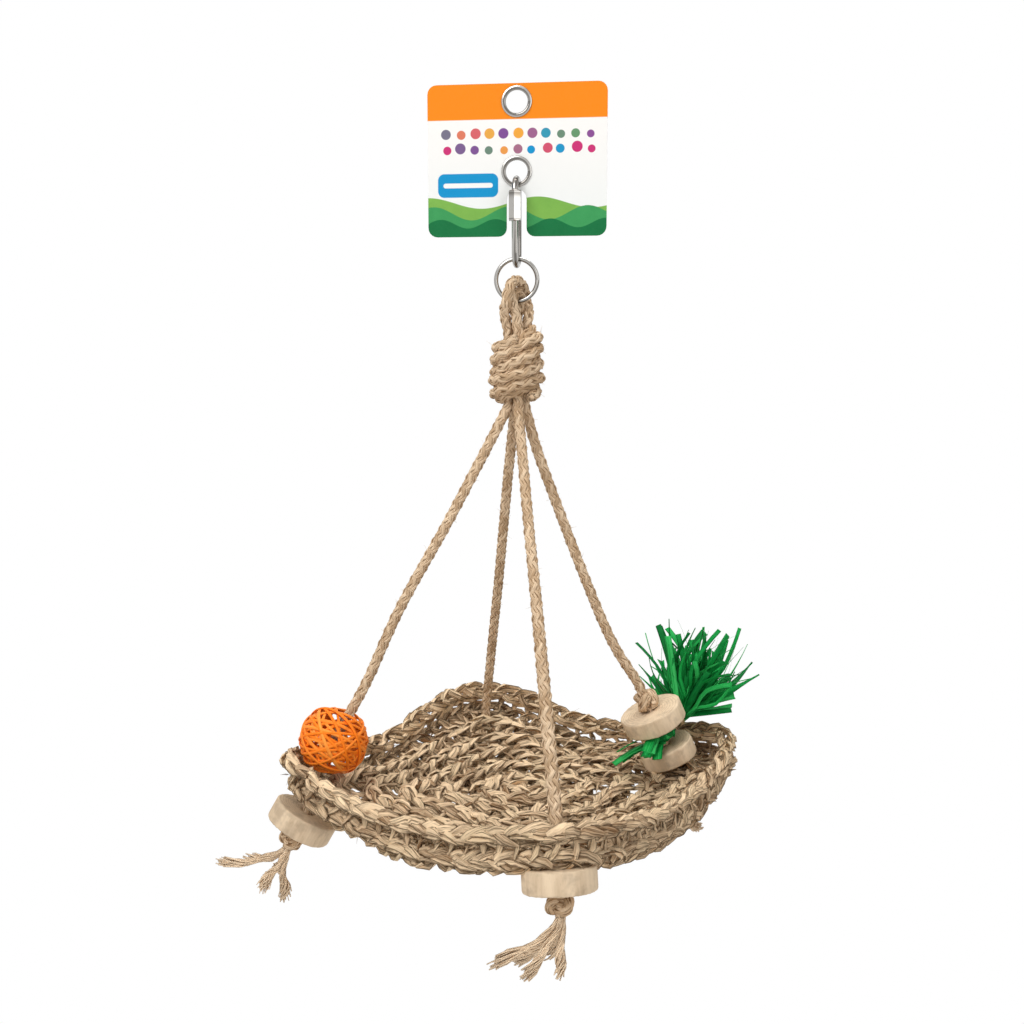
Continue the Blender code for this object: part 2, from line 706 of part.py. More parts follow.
def add_opening_walls(bm, layers, cells):
    """The walls of every opening, and the outside edge of the last round."""
    loop = ((0, 0), (1, 0), (1, 1), (0, 1))
    for i in cells:
        for j in cells:
            for (ax, ay), (bx, by) in zip(loop, loop[1:] + loop[:1]):
                first = (i, j, ax, ay)
                second = (i, j, bx, by)
                if first in layers[1] and second in layers[1]:
                    bm.faces.new((layers[1][first], layers[1][second],
                                  layers[-1][second], layers[-1][first]))
    reach = MAT_ROUNDS
    for line in range(-reach, reach + 1):
        for out, side in ((-reach - 1, 1), (reach, 0)):
            pairs = (((out, line - 1, side, 1), (out, line, side, 0)),
                     ((line - 1, out, 1, side), (line, out, 0, side)))
            for first, second in pairs:
                bm.faces.new((layers[1][first], layers[1][second],
                              layers[-1][second], layers[-1][first]))


def rim_point(share, reach, z):
    """A point of the rim by its share of the way round, counted evenly along a square."""
    side, rest = divmod(4 * share, 1)
    along_side = (2 * rest - 1) * reach
    x, y = ((along_side, -reach), (reach, along_side), (-along_side, reach),
            (-reach, -along_side))[int(side) % 4]
    x, y = rounded(x, y)
    return Vector((x, y, z + sag(x, y)))


def rim_section():
    """The rim plait's section: (out, up) from the middle of the plait, from its outside over its top."""
    half = RIM_PLAIT / 2
    flat = half * 0.45
    return [(half, 0), (flat, half), (-flat, half), (-half, 0), (-flat, -half), (flat, -half)]


def build_rim(finish, parent):
    """The upper edge round: a plait on posts that stand on the mat's last round."""
    bm = bmesh.new()
    foot = FLOOR_TOP + FIT_GAP
    section = rim_section()
    rows = []
    for column in range(RIM_COLUMNS):
        share = (column + 0.5) / RIM_COLUMNS
        rows.append([bm.verts.new(rim_point(share, MAT_REACH + out, RIM_RISE + z))
                     for out, z in section])
    count = len(section)
    feet = []
    for column, row in enumerate(rows):
        after = rows[(column + 1) % RIM_COLUMNS]
        for i in range(count):
            j = (i + 1) % count
            face = bm.faces.new((row[i], after[i], after[j], row[j]))
            if i == 4 and column % 2 == 0:
                feet.append(face)
    bmesh.ops.recalc_face_normals(bm, faces=bm.faces)
    for face in feet:
        grown = bmesh.ops.extrude_discrete_faces(bm, faces=[face])["faces"][0]
        for vert in grown.verts:
            vert.co.z = foot + sag(vert.co.x, vert.co.y)
    bmesh.ops.recalc_face_normals(bm, faces=bm.faces)
    turned = Matrix.Translation((0, 0, -HANG_DROP)) @ Matrix.Rotation(math.pi / 4, 4, "Z")
    place("seagrass_rim", mesh_from("seagrass_rim", bm), finish, parent, turned)


# Rattan ball

def strand_mesh(name, radius, normal):
    """One strand of the ball: a flat strip bent round a great circle."""
    outer = radius
    inner = radius - BALL_STRAND_THICKNESS
    half = BALL_STRAND_WIDTH / 2
    bm = revolve([(inner, -half), (outer, -half), (outer, half), (inner, half)], BALL_FACETS)
    bmesh.ops.transform(bm, matrix=normal.to_track_quat("Z", "Y").to_matrix().to_4x4(), verts=bm.verts)
    return mesh_from(name, bm)


def build_ball(centre, way, finish, parent):
    """Strands on great circles that all pass close beside the rope's two holes, or farther off."""
    radius = BALL_DIAMETER / 2
    near = ROPE_RADIUS + BALL_ROPE_ROOM + BALL_STRAND_WIDTH / 2
    tilt_least = math.asin(near / (radius - BALL_STRAND_THICKNESS))
    ball = None
    for index in range(BALL_STRANDS):
        share = index / (BALL_STRANDS - 1)
        height = math.sin(tilt_least + (BALL_TILT_MOST - tilt_least) * share)
        normal = polar(math.sqrt(1 - height ** 2), GOLDEN_ANGLE * index, height)
        lift = radius - index * BALL_STRAND_STEP
        strand = strand_mesh("ball_strand", lift, normal)
        if ball is None:
            ball = place("rattan_ball", strand, finish, parent, along(centre, way))
        else:
            helper = place(f"strand_{index}", strand, None, ball)
            hide_helper(helper)
            boolean(ball, helper, "UNION")


# Raffia

def build_raffia(centre, way, out, brush, finish, tie_finish, parent):
    """A folded hank: a hub round the rope, a neck through the tie, a brush and two short tails."""
    frame = along(centre, way)
    back = frame.to_3x3().transposed()
    out = back @ out
    out = Vector((out.x, out.y, 0)).normalized()
    brush = (back @ brush).normalized()
    hub = revolve([(DISC_BORE, -RAFFIA_HUB / 2), (RAFFIA_HUB_DIAMETER / 2, -RAFFIA_HUB / 3),
                   (RAFFIA_HUB_DIAMETER / 2, RAFFIA_HUB / 3), (DISC_BORE, RAFFIA_HUB / 2)], 16)
    tuft = place("raffia_tuft", mesh_from("raffia_tuft", hub), finish, parent, frame)
    neck = bmesh.new()
    inner = RAFFIA_HUB_DIAMETER / 2 - RAFFIA_NECK / 3
    length = RAFFIA_REACH - inner
    bmesh.ops.create_cone(neck, cap_ends=True, segments=8, radius1=RAFFIA_NECK / 2, radius2=RAFFIA_NECK / 2,
                          depth=length, matrix=along(out * (inner + length / 2), out))
    helpers = [("neck", neck), ("brush", brush_mesh(out * (RAFFIA_REACH + RAFFIA_KNOB / 4), brush))]
    for index, swing in enumerate(RAFFIA_TAIL_SWINGS):
        tail = out.copy()
        tail.rotate(Matrix.Rotation(swing, 3, "Z"))
        helpers.append((f"tail_{index}", ribbon_mesh(tail, index)))
    for name, bm in helpers:
        helper = place(f"raffia_{name}", mesh_from(name, bm), None, tuft)
        hide_helper(helper)
        boolean(tuft, helper, "UNION")
    tie = revolve([(RAFFIA_NECK / 2 + FIT_GAP + x, z)
                   for x, z in arc(TIE_WIRE / 2, 0, TIE_WIRE / 2, 0, 360, 6)[:-1]], 14)
    tie_place = frame @ along(out * (inner + 0.62 * length), out)
    place("raffia_tie", mesh_from("raffia_tie", tie), tie_finish, parent, tie_place)


def brush_mesh(centre, brush):
    """The brush: a knob whose outer faces grow into tapering strands that fan apart."""
    bm = bmesh.new()
    bmesh.ops.create_icosphere(bm, subdivisions=2, radius=RAFFIA_KNOB / 2,
                               matrix=Matrix.Translation(centre))
    spread = math.cos(RAFFIA_SPREAD)
    faces = [face for face in bm.faces if face.normal.dot(brush) > spread]
    bmesh.ops.inset_individual(bm, faces=faces, thickness=RAFFIA_KNOB / 40)
    for index, face in enumerate(faces):
        lean = face.normal.dot(brush)
        length = RAFFIA_LENGTH * (0.45 + 0.45 * lean + 0.10 * math.cos(GOLDEN_ANGLE * index))
        way = (face.normal * 0.55 + brush * 0.45).normalized()
        current = face
        for share, scale in ((0.5, 1.0), (0.5, 0.7)):
            current = bmesh.ops.extrude_discrete_faces(bm, faces=[current])["faces"][0]
            bmesh.ops.translate(bm, verts=current.verts, vec=way * length * share)
            middle = current.calc_center_median()
            for vert in current.verts:
                vert.co = middle + (vert.co - middle) * scale
    bmesh.ops.recalc_face_normals(bm, faces=bm.faces)
    return bm


def ribbon_mesh(way, index):
    """A short free end on the far side of the hub: a flat ribbon that narrows."""
    bm = bmesh.new()
    start = RAFFIA_HUB_DIAMETER / 2 * 0.75
    length = RAFFIA_TAIL * (1 - 0.15 * index)
    side = UP.cross(way).normalized() * RAFFIA_TAIL_WIDTH / 2
    depth = UP * RAFFIA_TAIL_THICKNESS / 2
    level = UP * RAFFIA_HUB * (0.25 - 0.5 * index)
    rings = []
    for share, wide, thick in ((0, 0.8, 1.25), (0.6, 1.0, 1.0), (1, 0.4, 0.75)):
        middle = way * (start + length * share) + level
        rings.append([bm.verts.new(middle + side * sx * wide + depth * sz * thick)
                      for sx, sz in ((-1, -1), (1, -1), (1, 1), (-1, 1))])
    for ring, after in zip(rings, rings[1:]):
        for i in range(4):
            j = (i + 1) % 4
            bm.faces.new((ring[i], ring[j], after[j], after[i]))
    bm.faces.new(rings[0])
    bm.faces.new(rings[-1])
    bmesh.ops.recalc_face_normals(bm, faces=bm.faces)
    return bm


# Assembly

def build_hanging_gear(nickel, board):
    build_card(board)
    build_eyelet("eyelet_top", TOP_EYELET_Z, nickel)
    build_eyelet("eyelet_lower", LOWER_EYELET_Z, nickel)
    link_pivot = make_empty("link_pivot", (0, 0, LINK_PIVOT_Z))
    nut_top, nut_y = build_link(nickel, link_pivot)
    build_nut(nut_top, nut_y, nickel, link_pivot)
    ring_pivot = make_empty("ring_pivot", (0, 0, RING_PIVOT_Z))
    build_ring(nickel, ring_pivot)


def build_ropes(jute, parent):
    outer = loop_points(OUTER_ARCH, CORNERS["left"] - math.tau, CORNERS["right"])
    inner = loop_points(LOOP_ARCH, CORNERS["front"], CORNERS["back"])
    tube("rope_loop_outer", outer, ROPE_RADIUS, 2, jute, parent)
    tube("rope_loop_inner", inner, ROPE_RADIUS, 2, jute, parent)
    wraps = knot_points()
    tube("top_knot", wraps, ROPE_RADIUS, 1, jute, parent)
    print(f"top_knot least gap to itself {1000 * least_self_gap(wraps, ROPE):.2f} mm")


def build_corners(jute, wood, parent):
    """The four legs with what hangs under the mat on each."""
    sweeps = {"front": Vector((-0.75, 0.25, -0.2)), "left": Vector((-0.9, -0.2, 0.2)),
              "right": Vector((0.3, 0.3, -0.2)), "back": Vector((0.2, 0.5, -0.2))}
    for phase, (name, azimuth) in enumerate(CORNERS.items()):
        hole = leg_hole_radius(name)
        tube(f"rope_leg_{name}", leg_points(name, azimuth, hole), ROPE_RADIUS, 2, jute, parent)
        start, way = tail_frame(name, azimuth, hole)
        disc = start + way * (FIT_GAP + DISC_THICKNESS / 2)
        build_disc(f"wood_disc_{name}", DISC_DIAMETER, DISC_THICKNESS, phase, along(disc, way), wood, parent)
        knot = start + way * (2 * FIT_GAP + DISC_THICKNESS + TAIL_KNOT_HEIGHT / 2)
        build_knot_lump(f"stopper_knot_{name}", along(knot, way), jute, parent)
        end = start + way * (tail_length() + FIT_GAP)
        build_frayed_end(f"frayed_end_{name}", end, way, sweeps[name], jute, parent)


def leg_hole_radius(name):
    cell = MAT_ROUNDS - 2 if name == "right" else MAT_ROUNDS - 1
    return corner_hole_radius(cell)


def ball_lift(bend, way, azimuth, out, up):
    """How far up its leg the ball comes to rest against one edge of the rim's corner."""
    corner_x, corner_y = rounded(MAT_REACH + out, MAT_REACH + out)
    level = sag(corner_x, corner_y) - HANG_DROP
    edge = polar(math.hypot(corner_x, corner_y), azimuth, level + RIM_RISE + up)
    clear = BALL_DIAMETER / 2 + 2 * FIT_GAP
    offset = bend - edge
    half = offset.dot(way)
    return math.sqrt(half ** 2 - offset.length_squared + clear ** 2) - half


def build_toys(jute, wood, rattan, raffia, fibre, parent):
    """The ball on the left leg, and the slices and raffia on the right leg."""
    azimuth = CORNERS["left"]
    bend = polar(leg_hole_radius("left"), azimuth, mat_level(leg_hole_radius("left")) + LEG_BEND)
    top = polar(STRAND_OFFSET, azimuth, -KNOT_EXIT)
    way = (top - bend).normalized()
    lift = max(ball_lift(bend, way, azimuth, out, up) for out, up in rim_section())
    build_ball(bend + way * lift, way, rattan, parent)
    line = right_toy_line(CORNERS["right"], leg_hole_radius("right"))
    way = line["way"]
    for part, diameter, phase in (("lower", TOY_DISC_LOWER, 4.2), ("upper", TOY_DISC_UPPER, 5.6)):
        seat = along(line[part], way)
        build_disc(f"toy_disc_{part}", diameter, TOY_DISC_THICKNESS, phase, seat, wood, parent)
    build_knot_lump("rope_knot_right", along(line["knot"], way), jute, parent)
    build_raffia(line["raffia"], way, Vector(RAFFIA_OUT), Vector(RAFFIA_BRUSH), raffia, fibre, parent)


def main():
    clear_scene()
    nickel = make_material("nickel", (0.62, 0.61, 0.58), 0.22, 1.0)
    board = make_material("printed_card", (0.85, 0.86, 0.84), 0.45)
    jute = make_material("jute", (0.46, 0.33, 0.20), 0.90)
    seagrass = make_material("seagrass", (0.40, 0.30, 0.18), 0.85)
    wood = make_material("pale_wood", (0.60, 0.46, 0.31), 0.70)
    rattan = make_material("orange_rattan", (0.85, 0.20, 0.02), 0.55)
    raffia = make_material("green_raffia", (0.0, 0.22, 0.04), 0.60)
    fibre = make_material("tie_fibre", (0.55, 0.42, 0.25), 0.90)
    build_hanging_gear(nickel, board)
    hammock = make_empty("hammock_pivot", (0, 0, HAMMOCK_PIVOT_Z), MAT_TURN)
    build_ropes(jute, hammock)
    build_mat(seagrass, hammock)
    build_rim(seagrass, hammock)
    build_corners(jute, wood, hammock)
    build_toys(jute, wood, rattan, raffia, fibre, hammock)
    bpy.context.view_layer.update()


main()
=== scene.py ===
"""Bird hammock: the looks of the part, laid out as a Blender add-on.

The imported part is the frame: metres, +Z up, the hang point at the origin, the card facing -Y. Each
operator makes one group of pieces around it, in place, from the sizes and colours in the sidebar.
"""

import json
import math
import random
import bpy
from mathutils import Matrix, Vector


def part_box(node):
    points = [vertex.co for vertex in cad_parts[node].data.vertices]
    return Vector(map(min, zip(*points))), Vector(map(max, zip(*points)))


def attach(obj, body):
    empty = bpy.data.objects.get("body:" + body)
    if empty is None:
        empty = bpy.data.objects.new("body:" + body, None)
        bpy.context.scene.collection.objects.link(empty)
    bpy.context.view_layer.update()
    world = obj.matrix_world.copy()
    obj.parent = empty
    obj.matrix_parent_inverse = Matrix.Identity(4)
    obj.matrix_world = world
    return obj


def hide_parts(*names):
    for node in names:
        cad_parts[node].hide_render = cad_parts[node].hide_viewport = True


bl_info = {
    "name": "Bird Hammock",
    "version": (1, 0, 0),
    "blender": (4, 5, 0),
    "location": "View3D > Sidebar > Hammock",
    "description": "Crocheted seagrass hammock for a bird cage, with jute ropes, slices, ball and raffia",
    "category": "Object",
}

import bpy
import numpy as np
from bpy.props import FloatProperty, FloatVectorProperty, IntProperty, PointerProperty
from mathutils import Matrix, Vector

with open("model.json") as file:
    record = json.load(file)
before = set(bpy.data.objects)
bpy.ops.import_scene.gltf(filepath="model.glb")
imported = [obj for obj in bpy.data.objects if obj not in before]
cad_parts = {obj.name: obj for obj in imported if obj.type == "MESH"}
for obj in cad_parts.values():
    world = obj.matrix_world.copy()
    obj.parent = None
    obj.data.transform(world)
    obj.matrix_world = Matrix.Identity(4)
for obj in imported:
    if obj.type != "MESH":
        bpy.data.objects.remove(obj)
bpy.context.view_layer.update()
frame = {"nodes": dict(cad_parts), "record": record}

JOINTS = {joint["name"]: joint for joint in frame["record"]["behaviour"]["joints"]}
HAMMOCK_PIVOT = np.array(JOINTS["hammock_swing"]["pos_m"])

# The hammock's own frame: its pivot on the ring, turned about the hang line against the card
MAT_TURN = math.radians(18)
ROW_TURN = np.array(((math.cos(MAT_TURN), -math.sin(MAT_TURN), 0),
                     (math.sin(MAT_TURN), math.cos(MAT_TURN), 0), (0, 0, 1)))
CORNERS = {"front": -math.pi / 2, "right": 0.0, "back": math.pi / 2, "left": math.pi}
HANG_DROP = 0.268           # ring's lower wire to the mat, at its corner holes
ROPE_RADIUS = 0.003
FIT_GAP = 0.0003
GOLDEN_ANGLE = 2.4
DOWN = np.array((0, 0, -1))

# Starts of the random draws
SEEDS = {"raffia": 5, "rim_ends": 9, "tangle": 10, "ball": 11, "tie": 31, "knot_hairs": 3, "leg_hairs": 20,
         "frays": 40, "rounds": 100, "posts": 200, "edge": 301, "rim": 302, "struts": 303}
UNDERSIDE_SEED = 50

# Yarns of the braided rope, in shares of its radius
YARN_THICKNESS = 0.25
YARN_WIDTH = 0.39
YARN_WEAVE = 0.12
YARN_SIDES = 7
YARN_SWELL = 0.07           # a yarn thickens and thins by this share
YARN_SWELL_RATE = 310
YARN_PHASE = 2.1
YARN_TONE = 0.24            # how far the yarns differ in tone
ROPE_CORE = 0.78
CORE_SIDES = 10
ROPE_PLUMP = 1.05           # a slack braid swells a little past its drawn diameter
ROPE_STEP = 0.0008

# Stray hairs of the rope
HAIR_LENGTH = (0.0015, 0.0042)
HAIR_LIFT = (0.25, 0.9)
HAIR_ROOT = 0.86
HAIR_BEND = 0.25
HAIR_STEPS = (0, 0.35, 0.7, 1)
HAIR_RADII = (0.00009, 0.00008, 0.00006, 0.00003)
HAIR_TONES = (0.7, 1.0)

# Loops and wrapped knot
LOOP_TURN = math.radians(-126)
LOOP_ARCHES = {"outer": 0.0121, "inner": 0.0058}
LOOP_CENTRE = -0.0009
LOOP_DRAW = 0.7             # below 1, the strands draw together early
LOOP_STEPS = 6
ARCH_STEPS = 13
LOOP_EASING = 8
STRAND_OFFSET = 0.0045
KNOT_TOP = 0.0160
KNOT_TURNS = 4.75
KNOT_PITCH = 0.0068
KNOT_WAIST = 0.0106
KNOT_BULGE = 0.0023
KNOT_BULGE_LOW = 1.35       # above 1, the bulge lies below the middle
KNOT_SLANT_TOP = math.radians(28)
KNOT_SLANT_FOOT = math.radians(7)
KNOT_SLANT_AZIMUTH = math.radians(-8)
KNOT_MIDDLE = 0.03365
KNOT_EXIT = 0.05694
UNDER_WRAP = 0.0024         # the under layer of the wrapping lies this far inside the outer one
WRAP_STEPS = 36
WRAP_WANDER = (0.0007, 1.7)     # how far a turn wanders outwards, and how often
WRAP_DRIFT = (0.0009, 1.4)      # the same up and down
WRAP_EASING = 3
WRAP_PHASE = 0.6
UNDER_PHASE = 2.2
UNDER_TONE = 0.3

# Legs and tails
LEG_BEND = 0.0055
LEG_HOLES = {"front": 0.11448, "right": 0.09358, "back": 0.11448, "left": 0.11448}
RIGHT_LEG_BENDS = ((0.0155, 0.1755), (0.0508, 0.0860))      # out from the hang line, height over the mat
LEG_WAVES = {               # share of the way down, and how far the leg waves outwards there
    "front": ((0.26, -0.0012), (0.52, 0.0008), (0.76, 0.0)),
    "back": ((0.24, 0.0010), (0.50, -0.0012), (0.78, 0.0)),
    "left": ((0.30, 0.0), (0.54, 0.0016), (0.74, -0.0014), (0.86, -0.0004)),
}
LEG_SWELL = {"front": 0.20, "right": 0.0, "back": 0.0, "left": 0.0}
LEG_SLACK = ((0.35, 0.70, 0.84, 0.88), (0, 1, 1, 0))        # where along a leg its braid is slack
LEG_EASING = 6
LEG_PHASE = 1.3
TAIL_ROOM = 0.0008
LEFT_TAIL_LEAN = math.radians(30)
LEFT_TAIL_DROP = 0.0075
DISC_THICKNESS = 0.012
TAIL_KNOT_HEIGHT = 0.011
TAIL_KNOT_WIDTH = 0.0155
TAIL_KNOT_STEPS = 110
TAIL_KNOT_STEP = 0.0009
TAIL_KNOT_PRESS = (0.95, 0.92)      # of the rope's radius, sideways and up
TAIL_KNOT_TONE = (0.45, 0.08)
TAIL_KNOT_PHASE = (0.3, 1.7)
TAIL_KNOT_START = 0.35
TAIL_KNOT_SPAN = 0.985      # the knot's loop is left this open
TAIL_KNOT_ROPE = 0.97       # the rope is drawn thinner in a tight knot
TAIL_LENGTH = DISC_THICKNESS + TAIL_KNOT_HEIGHT + 3 * FIT_GAP
TOY_THICKNESS = 0.0105
TOY_DIAMETERS = {"upper": 0.0380, "lower": 0.0325}
TOY_PHASES = {"upper": 5.6, "lower": 4.2}
TOY_KNOT_PHASE = 0.9
TOY_KNOT_LIFT = TOY_THICKNESS / 2 + FIT_GAP + TAIL_KNOT_HEIGHT / 2

# Frayed ends
FRAY_BUNDLES = 5
FRAY_TWIST = 7.0
FRAY_WIND = 3.4
FRAY_REACH = 0.030
FRAY_SIDE = (0.3, 0.9, 0.2)
FRAY_TURN = 0.35            # how far a bundle strays from its even place round the rope
FRAY_LENGTHS = (0.74, 1.0)
FIBRE_LENGTHS = (0.86, 1.04)
# Tones above the rope's paint the fibres paler: painted light against the shade they cast on each other
FRAY_TONES = (0.90, 1.5)
FRAY_SPREAD = (0.50, 0.85)
FRAY_SWEEP = 0.60
FRAY_DROP = 0.84
FRAY_GIRTH = 0.0011
FRAY_FLARE = 0.0027
FRAY_CURL = 0.0005
FRAY_KINK = 0.0017
FRAY_FIBRE = (0.00032, 0.00058)
FRAY_TAPER = np.array((1, 1, 1, 1, 1, 1, 1, 0.95, 0.9, 0.7))
FRAY_SWEEPS = {"front": (-1.05, 0.30, -0.1), "left": (-0.45, -0.15, 0.25),
               "right": (-0.6, 1.0, 0.8), "back": (0.2, 0.5, -0.2)}

# Mat and rim
MAT_ROUNDS = 6
ROUND_PITCH = 0.0165
MAT_REACH = MAT_ROUNDS * ROUND_PITCH
MAT_ROUNDNESS = 6.0
MAT_CORNER = MAT_REACH / 2 ** (1 / MAT_ROUNDNESS)
MAT_HEART = 0.0042          # half the side of the innermost round
MAT_SAG = 0.014
SAG_POWER = 1.4
PLAIT_HEIGHT = 0.0084
RIM_RISE = 0.0105
RIM_GAP = 0.0014            # how far the rim and the edge spread from their middles
ROUND_STEP = 0.006
ROUND_WANDER = 0.0012
ROUND_SHARE = 0.955         # length of a soft square's edge against a sharp one's

# Stitches: a plait's arm is in shares of its half width, its pitch and its rise
VEE_ARM = ((0.02, -0.74, -0.45), (0.34, -0.36, 0.55), (0.80, 0.08, 1.0), (1.0, 0.44, 0.75),
           (0.72, 0.86, -0.55))
VEE_RISE = 0.0020
VEE_SHIFT = (0.0003, 0.12)  # an arm's offset to one side, and forwards in shares of the pitch
VEE_TWIST = 1.9
VEE_TONES = {1: (0.85, 0.25), -1: (0.45, 0.70)}
ARM_SPANS = 5
ARM_STEP = 0.002
FLOOR_SPREAD = 1.22         # width of the floor's plaits against the rim's
POST_RADIUS = 0.77          # of a post against a plait's strand
POST_TWIST = 2.6
POST_TONES = (0.7, 0.3)
POST_BOW = (0.7, 0.5, 2.2)  # sideways, up, and how far the bow winds
POST_REACH = 0.44           # of the way between two rounds, each way
POSTS_FIRST = 8
POSTS_MORE = 15             # each round outwards has this many more
POST_WANDER = 0.0010
POST_SWAY = 0.45
STRUT_REACH = 0.62          # of the rim's rise
STRUTS = 76
STRUT_OUT = 0.001
STRUT_WANDER = 0.0008
STRUT_SWAY = 0.36
STRUT_WARP = 0.0030
RIM_OUT = 0.0008
EDGE_ROLL = 0.55
RIM_ROLL = 0.75
PLAIT_LIFT = 0.0016
PLAIT_SWAY = 0.26
STITCH_WARP = 0.0055
STITCH_GROWTH = ((0.86, 0.90, 0.84), (1.14, 1.14, 1.16))
WARP_SCALE = 125.0
TANGLE = 4                  # blades over the floor for each loose end at the rim
FOLD_ANGLE = math.radians(42)

# One blade of a strand, in shares of the strand's radius
BLADE_WIDTH = 0.84
BLADE_FOLD = 0.42
BLADE_LIFT = 0.36
BLADE_SLIP = 0.24
BLADE_GIRTH = (0.50, 0.55)  # at the ends, and more in the middle
BLADE_STEPS = (0, 0.33, 0.66, 1)
BLADE_TAPER = np.array((1, 1, 0.8, 0.25))
BLADE_FLATNESS = 0.3

# Slices and ball
SLICE_COLUMNS = 72
SLICE_SIZE = 0.974
SLICE_BENDS = ((0.020, 2, 1), (0.012, 3, -2))       # depth, number round the edge, share of the phase
SLICE_CUTS = ((0.003, 9, 1), (0.002, 17, 0))
SLICE_PITH = 0.06
SLICE_CREASE = math.radians(50)
SLICE_EASE = 0.0012
SLICE_FACE = (0.06, 0.35, 0.68)
SLICE_BORE_EASE = 0.0005
SAW_MARK = 0.00012
SAW_RATE = 2600
BALL_RADIUS = 0.020
BALL_STRIP = (0.00092, 0.0007)      # half the width and half the thickness
BALL_DEPTH = 0.0019
BALL_WIDTHS = (0.85, 1.2)
BALL_STRAY = 0.15
BALL_COLUMNS = 56
STRIP_SIDES = 8
BALL_TILTS = (math.radians(17), math.radians(83))

# Raffia: the brush keeps clear of the slice above it
BRUSH_CLEAR = 0.0227
BRUSH_FREE = 0.024
RAFFIA_OUT = (0.85, 0.45, 0.2)
BRUSH_WAY = (0.35, 0.45, 0.85)
BRUSH_LENGTH = (0.032, 0.067)
BRUSH_WIDTH = (0.0014, 0.0046)
BRUSH_SWING = 0.52
BRUSH_RISE = 0.34
BRUSH_BOW = (0.02, 0.17)
BRUSH_DROOP = 0.10
BRUSH_CUT = 0.55            # share of the brush that is cut square
FOLD_RIBBONS = 26
FOLD_LEVEL = 0.0032
FOLD_REACH = (0.0062, 0.0092)
FOLD_WIDTH = (0.003, 0.0048)
FOLD_ARC = 1.1
NECK_RIBBONS = 14
NECK_SPREAD = 0.0022
NECK_WIDTH = 0.0026
LOW_RIBBONS = 26
LOW_ROOT = 0.004
LOW_LENGTH = (0.016, 0.038)
LOW_WIDTH = (0.0014, 0.0042)
LEAF_RIBBONS = 10
LEAF_TURNS = (2.75, -2.60)
LEAF_ROOT = 0.0068
LEAF_LEVEL = 0.0040
LEAF_LENGTH = (0.019, 0.026)
LEAF_WIDTH = (0.0046, 0.0064)
RIBBON_STEP = 0.0065
RIBBON_THINNESS = 0.10
TIE_REACH = 0.0165
TIE_TURNS = 4.2
TIE_STEPS = 90
TIE_GIRTH = (0.00345, 0.0003)
TIE_WIDTH = 0.0030
TIE_FIBRE = 0.00042
TIE_TONE = 0.6
TIE_END = 0.007
TIE_DROOP = 0.0016
TIE_TAPER = (0.0004, 0.0004, 0.00035, 0.0002)


# Sizes and colours

def distance(name, description, default, low, high):
    return FloatProperty(name=name, description=description, default=default, min=low, max=high,
                         unit="LENGTH")


def amount(name, description, default, low, high):
    return IntProperty(name=name, description=description, default=default, min=low, max=high)


def colour(name, description, default):
    return FloatVectorProperty(name=name, description=description, default=default, size=3,
                               subtype="COLOR", min=0.0, max=1.0)


class HammockSizes(bpy.types.PropertyGroup):
    """Sizes of the looks that a user would change."""

    rope_lay: distance("Rope lay", "Length of one turn of a yarn in the braided rope", 0.0320, 0.008, 0.06)
    rope_yarns: amount("Rope yarns", "Yarns in the braid, half of them each way", 8, 4, 16)
    rope_hairs: amount("Rope hairs", "Stray hairs on each leg", 85, 0, 400)
    fray_fibres: amount("Frayed fibres", "Fibres in each frayed end", 300, 10, 600)
    stitch_pitch: distance("Stitch pitch", "Distance between the stitches of a plait", 0.01075, 0.004, 0.02)
    stitch_width: distance("Stitch width", "Width of the rim's plait of seagrass", 0.00857, 0.005, 0.02)
    seagrass_strand: distance("Seagrass strand", "Radius of one folded strand", 0.00258, 0.001, 0.004)
    seagrass_ends: amount("Loose ends", "Loose blades of seagrass along the rim", 70, 0, 300)
    disc_diameter: distance("Slice", "Diameter of the wood slices under the mat", 0.0375, 0.02, 0.06)
    ball_strips: amount("Ball strips", "Strips of rattan in the ball", 30, 7, 60)
    raffia_ribbons: amount("Raffia ribbons", "Ribbons in the brush of raffia", 170, 20, 300)


class HammockColours(bpy.types.PropertyGroup):
    """Colours of the looks, in linear light."""

    jute_pale: colour("Jute, pale", "Sunlit fibres of the rope", (0.99, 0.775, 0.545))
    jute_dark: colour("Jute, dark", "Fibres in the grooves of the rope", (0.46, 0.30, 0.17))
    seagrass_pale: colour("Seagrass, pale", "Dry pale blades", (0.98, 0.735, 0.475))
    seagrass_brown: colour("Seagrass, brown", "Darker blades", (0.21, 0.100, 0.037))
    seagrass_olive: colour("Seagrass, olive", "Greenish blades", (0.40, 0.30, 0.15))
    wood_pale: colour("Wood, pale", "Sapwood of the slices", (0.79, 0.62, 0.43))
    wood_ring: colour("Wood, rings", "Late wood of the yearly rings", (0.36, 0.235, 0.135))
    rattan: colour("Rattan", "Dyed rattan of the ball", (1.0, 0.225, 0.009))
    rattan_pale: colour("Rattan, pale", "Where the dye took less", (1.0, 0.46, 0.09))
    raffia: colour("Raffia", "Dyed raffia", (0.005, 0.38, 0.062))
    raffia_dark: colour("Raffia, dark", "Raffia that took more dye", (0.002, 0.125, 0.024))
    nickel: colour("Nickel", "Plated link, ring and eyelets", (0.46, 0.445, 0.42))
    card_band: colour("Card band", "Band across the top of the card", (0.86, 0.235, 0.006))
    card_field: colour("Card field", "Ground of the card", (0.86, 0.84, 0.81))
    card_blue: colour("Card blue", "Blue of the card's pattern", (0.004, 0.27, 0.55))


def sizes():
    return bpy.context.scene.hammock_sizes


def colours():
    return bpy.context.scene.hammock_colours


